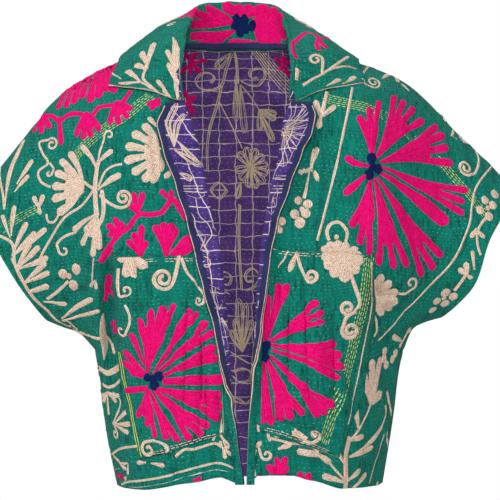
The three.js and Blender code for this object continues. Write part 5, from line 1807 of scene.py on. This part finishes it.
for tip in [(49, -86), (48, -94), (24, -111), (45, -128)]:
    loop("inside", (22, -79), tip, 8)
for shift in (0, 4, 8, 12, 16, 20):
    line("inside", "pale", [(x + shift * up_share, up + 0.35 * shift) for (x, up), up_share in
                            zip(((12, 2), (35, -26), (56, -52), (73, -66)), (0.6, 0.8, 1.0, 1.2))], 1.6, 1.0)
for tip in [(-9, -143), (3, -135), (18, -137), (30, -147), (36, -161), (36, -176), (31, -191), (19, -198),
            (7, -197), (-6, -185), (-14, -171)]:
    loop("inside", (9, -165), tip, 11)
loop("inside", (-5, -188), (-11, -213), 8)
thread_shape("inside", [(-8, -221), (-9, -275), (-5, -350)], 1.3)
thread_shape("inside", [(-24, -355), (-38, -347), (-42, -332), (-32, -322), (-21, -329), (-24, -341),
                        (-33, -340)], 1.3)
thread_shape("inside", [(0, -350), (15, -344), (22, -329), (12, -317), (1, -325), (3, -337), (12, -335)],
             1.3)
for tip in [(-8, -361), (3, -368), (12, -394), (-20, -410), (-14, -392)]:
    loop("inside", (-2, -443), tip, 9)
line("inside", "pale", [(-20, -443), (-6, -452), (12, -461), (27, -455)], 1.7, 1.0)
thread_shape("inside", [(-17, -473), (-3, -467), (9, -473), (6, -485), (-9, -487), (-17, -479)], 1.3)
loop("inside", (3, -521), (-18, -512), 8)
loop("inside", (3, -521), (21, -509), 8)
for base, tips in [((-77, -13), [(-95, -27), (-88, 0), (-71, 2), (-55, -7), (-65, -26), (-80, -29)]),
                   ((-81, -69), [(-90, -52), (-72, -59), (-78, -86), (-93, -75)]),
                   ((59, -15), [(47, -4), (59, -2), (71, -10), (67, -32), (52, -23)])]:
    for tip in tips:
        petal("inside", "pink", base, tip, 10, 0.5, 0, 0.5)

# %% Couched lines along the front edges
for key, levels in (("left", (-90, -617)), ("right", (-90, -617))):
    for start in range(levels[0], levels[1], -88):
        steps = [(start - k * 11, 1.2) for k in range(9) if start - k * 11 >= levels[1]]
        if len(steps) > 2:
            line(f"lapel_{key}", "cream", steps, 2.3, 2.2)

# %% [markdown]
# ## The back
#
# The photo shows nothing of it. It is cut from the same spread, so it carries the same kind of flowers,
# sprays and bands in an arrangement of its own, cut through by the seams and the hem as on the fronts.

# %% Embroidery of the back
band("back", [(-330, -110), (-240, -128), (-150, -120), (-60, -98), (20, -60)], 17)
band("back", [(30, -640), (40, -560), (70, -470), (120, -390), (190, -330), (250, -310)], 17)
band("back", [(260, -70), (310, -150), (350, -240)], 15)
bloom("back", (-92, -292), 112, 12, 9)
bloom("back", (176, -176), 92, 40, 8)
bloom("back", (150, -560), 96, 0, 8)
bloom("back", (-196, -560), 84, 25, 8)
bloom("back", (-300, -205), 62, 5, 7)
bloom("back", (10, -470), 46, 30, 6)
spray("back", "cream", [(20, -20), (60, -70), (70, -130), (50, -190)], 4, 36, 11)
spray("back", "cream", [(-40, -10), (-90, -50), (-150, -60), (-200, -40)], 4, 30, 10)
spray("back", "cream", [(40, -250), (80, -300), (90, -360), (70, -420)], 4, 34, 11)
spray("back", "cream", [(-20, -620), (-40, -570), (-80, -520), (-70, -450)], 4, 36, 12)
spray("back", "cream", [(180, -300), (220, -350), (220, -420), (190, -470)], 4, 30, 10)
spray("back", "cream", [(-240, -300), (-200, -360), (-190, -420), (-160, -470)], 4, 32, 11)
spray("back", "cream", [(290, -110), (320, -170), (330, -240), (310, -300)], 4, 30, 10)
spray("back", "cream", [(-340, -250), (-300, -300), (-290, -350), (-250, -390)], 4, 28, 9)
spray("back", "pink", [(90, -20), (130, -50), (190, -50), (240, -70)], 4, 22, 9)
spray("back", "pink", [(-210, -100), (-240, -70), (-180, -30), (-120, -20)], 3, 22, 9)
for place, radius, lead in [((110, -250), 12, (90, -280)), ((-30, -150), 13, (-10, -120)),
                            ((-150, -170), 12, (-170, -140)),
                            ((60, -520), 12, (40, -545)), ((-120, -620), 11, (-140, -600)),
                            ((250, -250), 13, (270, -220)),
                            ((-270, -440), 10, (-250, -420)), ((-360, -180), 10, (-370, -210)),
                            ((-20, -390), 11, (0, -410))]:
    curl("back", "cream", place, radius, 0, 1.3, 3.4, [lead,
                                                       ((lead[0] + place[0]) / 2 + radius,
                                                        (lead[1] + place[1]) / 2)])
for place in [(0, -110), (-210, -150), (120, -330), (-30, -210), (220, -520), (-110, -440), (60, -590),
              (280, -370),
              (-350, -130), (350, -200), (-130, -400), (-250, -250)]:
    berries("back", "cream", place)
line("back", "cream", [(-184, -619), (-100, -621), (0, -620), (100, -621), (196, -619)], 2.6)
line("back", "white", [(-184, -612), (-100, -614), (0, -613), (100, -614), (196, -612)], 1.4)
line("back", "cream", [(-160, 0), (-170, -150), (-166, -300), (-172, -450), (-168, -600)], 2.4)
line("back", "cream", [(240, -60), (250, -150), (246, -260), (236, -380)], 2.4)

# %% Embroidery of the collar behind the neck
middle = float(collar_u[-1]) / 2
for off, way in [(0, 1), (-96, -1), (96, 1)]:
    place = middle + off
    spray("collar", "cream", [(place - 18 * way, 172), (place, 150), (place + 8 * way, 124), (place, 100)],
          3, 24, 9)
for off in (-48, 48):
    bloom("collar", (middle + off, 150), 44, 15, 7)
print("collar motifs round", round(middle), "mm along the roll")

# %% [markdown]
# ## Laying the embroidery
#
# Now every basket is lifted onto its surface in one go and becomes one mesh. A face stays only if at
# least one of its corners lies on the cloth.

# %% Embroidery meshes
total = 0
for (surface, colour), basket in sorted(baskets.items()):
    flat, rise = np.concatenate(basket["flat"]), np.concatenate(basket["rise"])
    points, kept = surfaces[surface].lay(flat, rise)
    faces = np.concatenate(basket["faces"])
    faces = faces[kept[faces].any(1)]
    a, b, c = (points[faces[:, k]] for k in range(3))
    away = surfaces[surface].lay(flat, rise + 1)[0][faces[:, 0]] - a
    if np.sum(np.cross(b - a, c - a) * away) < 0:
        faces = faces[:, ::-1]
    piece = mesh_object(f"stitch_{surface}_{colour}", points, faces.tolist(), np.concatenate(basket["uv"]),
                        [THREADS[colour]])
    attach(piece, "root")
    total += 2 * len(faces)
print("embroidery triangles", total)

# %% [markdown]
# ## Studio
#
# The photo is a frontal product shot on white with soft even light. A long lens from three metres away
# keeps the jacket flat and undistorted. One large soft light sits above the camera to the left, a weaker
# one to the right, and the white surroundings fill the shadows.

# %% Light, floor and camera
def area_light(name, place, aim, size, power, colour=(1, 1, 1)):
    data = bpy.data.lights.new(name, "AREA")
    data.shape = "DISK"
    data.size = size
    data.energy = power
    data.color = colour
    light = bpy.data.objects.new(name, data)
    light.location = place
    from mathutils import Vector
    light.rotation_euler = (Vector(aim) - Vector(place)).to_track_quat("-Z", "Y").to_euler()
    bpy.context.scene.collection.objects.link(light)


area_light("key", (-2.3, -2.0, 1.5), (0, 0, -0.25), 0.8, 63)
area_light("fill", (2.4, -2.2, 0.3), (0, 0, -0.3), 2.0, 12)
area_light("front", (0.05, -2.3, 0.55), (0, 0.1, -0.25), 0.35, 30)
area_light("top", (0.2, 0.6, 2.2), (0, 0, -0.2), 1.6, 22)

bpy.ops.mesh.primitive_cylinder_add(vertices=96, radius=2.1, depth=0.02, location=(0, 0, -0.91))
floor = bpy.context.object
floor.name = "floor"
paper = bpy.data.materials.new("pale_floor")
paper.use_nodes = True
paper.node_tree.nodes["Principled BSDF"].inputs["Base Color"].default_value = (0.85, 0.85, 0.84, 1)
paper.node_tree.nodes["Principled BSDF"].inputs["Roughness"].default_value = 0.9
floor.data.materials.append(paper)

world = bpy.data.worlds.new("studio")
world.use_nodes = True
bpy.context.scene.world = world
w = Wires(world.node_tree)
background = world.node_tree.nodes["Background"]
seen = w.add("ShaderNodeLightPath").outputs["Is Camera Ray"]
w.put(background.inputs["Color"], (1.0, 1.0, 1.0, 1.0))
w.put(background.inputs["Strength"], w.map(seen, 0.0, 1.0, 0.32, 1.0))

camera_data = bpy.data.cameras.new("camera")
camera_data.lens = 158.9
camera_data.sensor_width = 36
camera = bpy.data.objects.new("camera", camera_data)
camera.location = (0.0087, -3.2, -0.29)
camera.rotation_euler = (math.pi / 2, 0, 0)
bpy.context.scene.collection.objects.link(camera)
bpy.context.scene.camera = camera
bpy.context.scene.view_settings.view_transform = "Standard"
print("camera", tuple(camera.location))
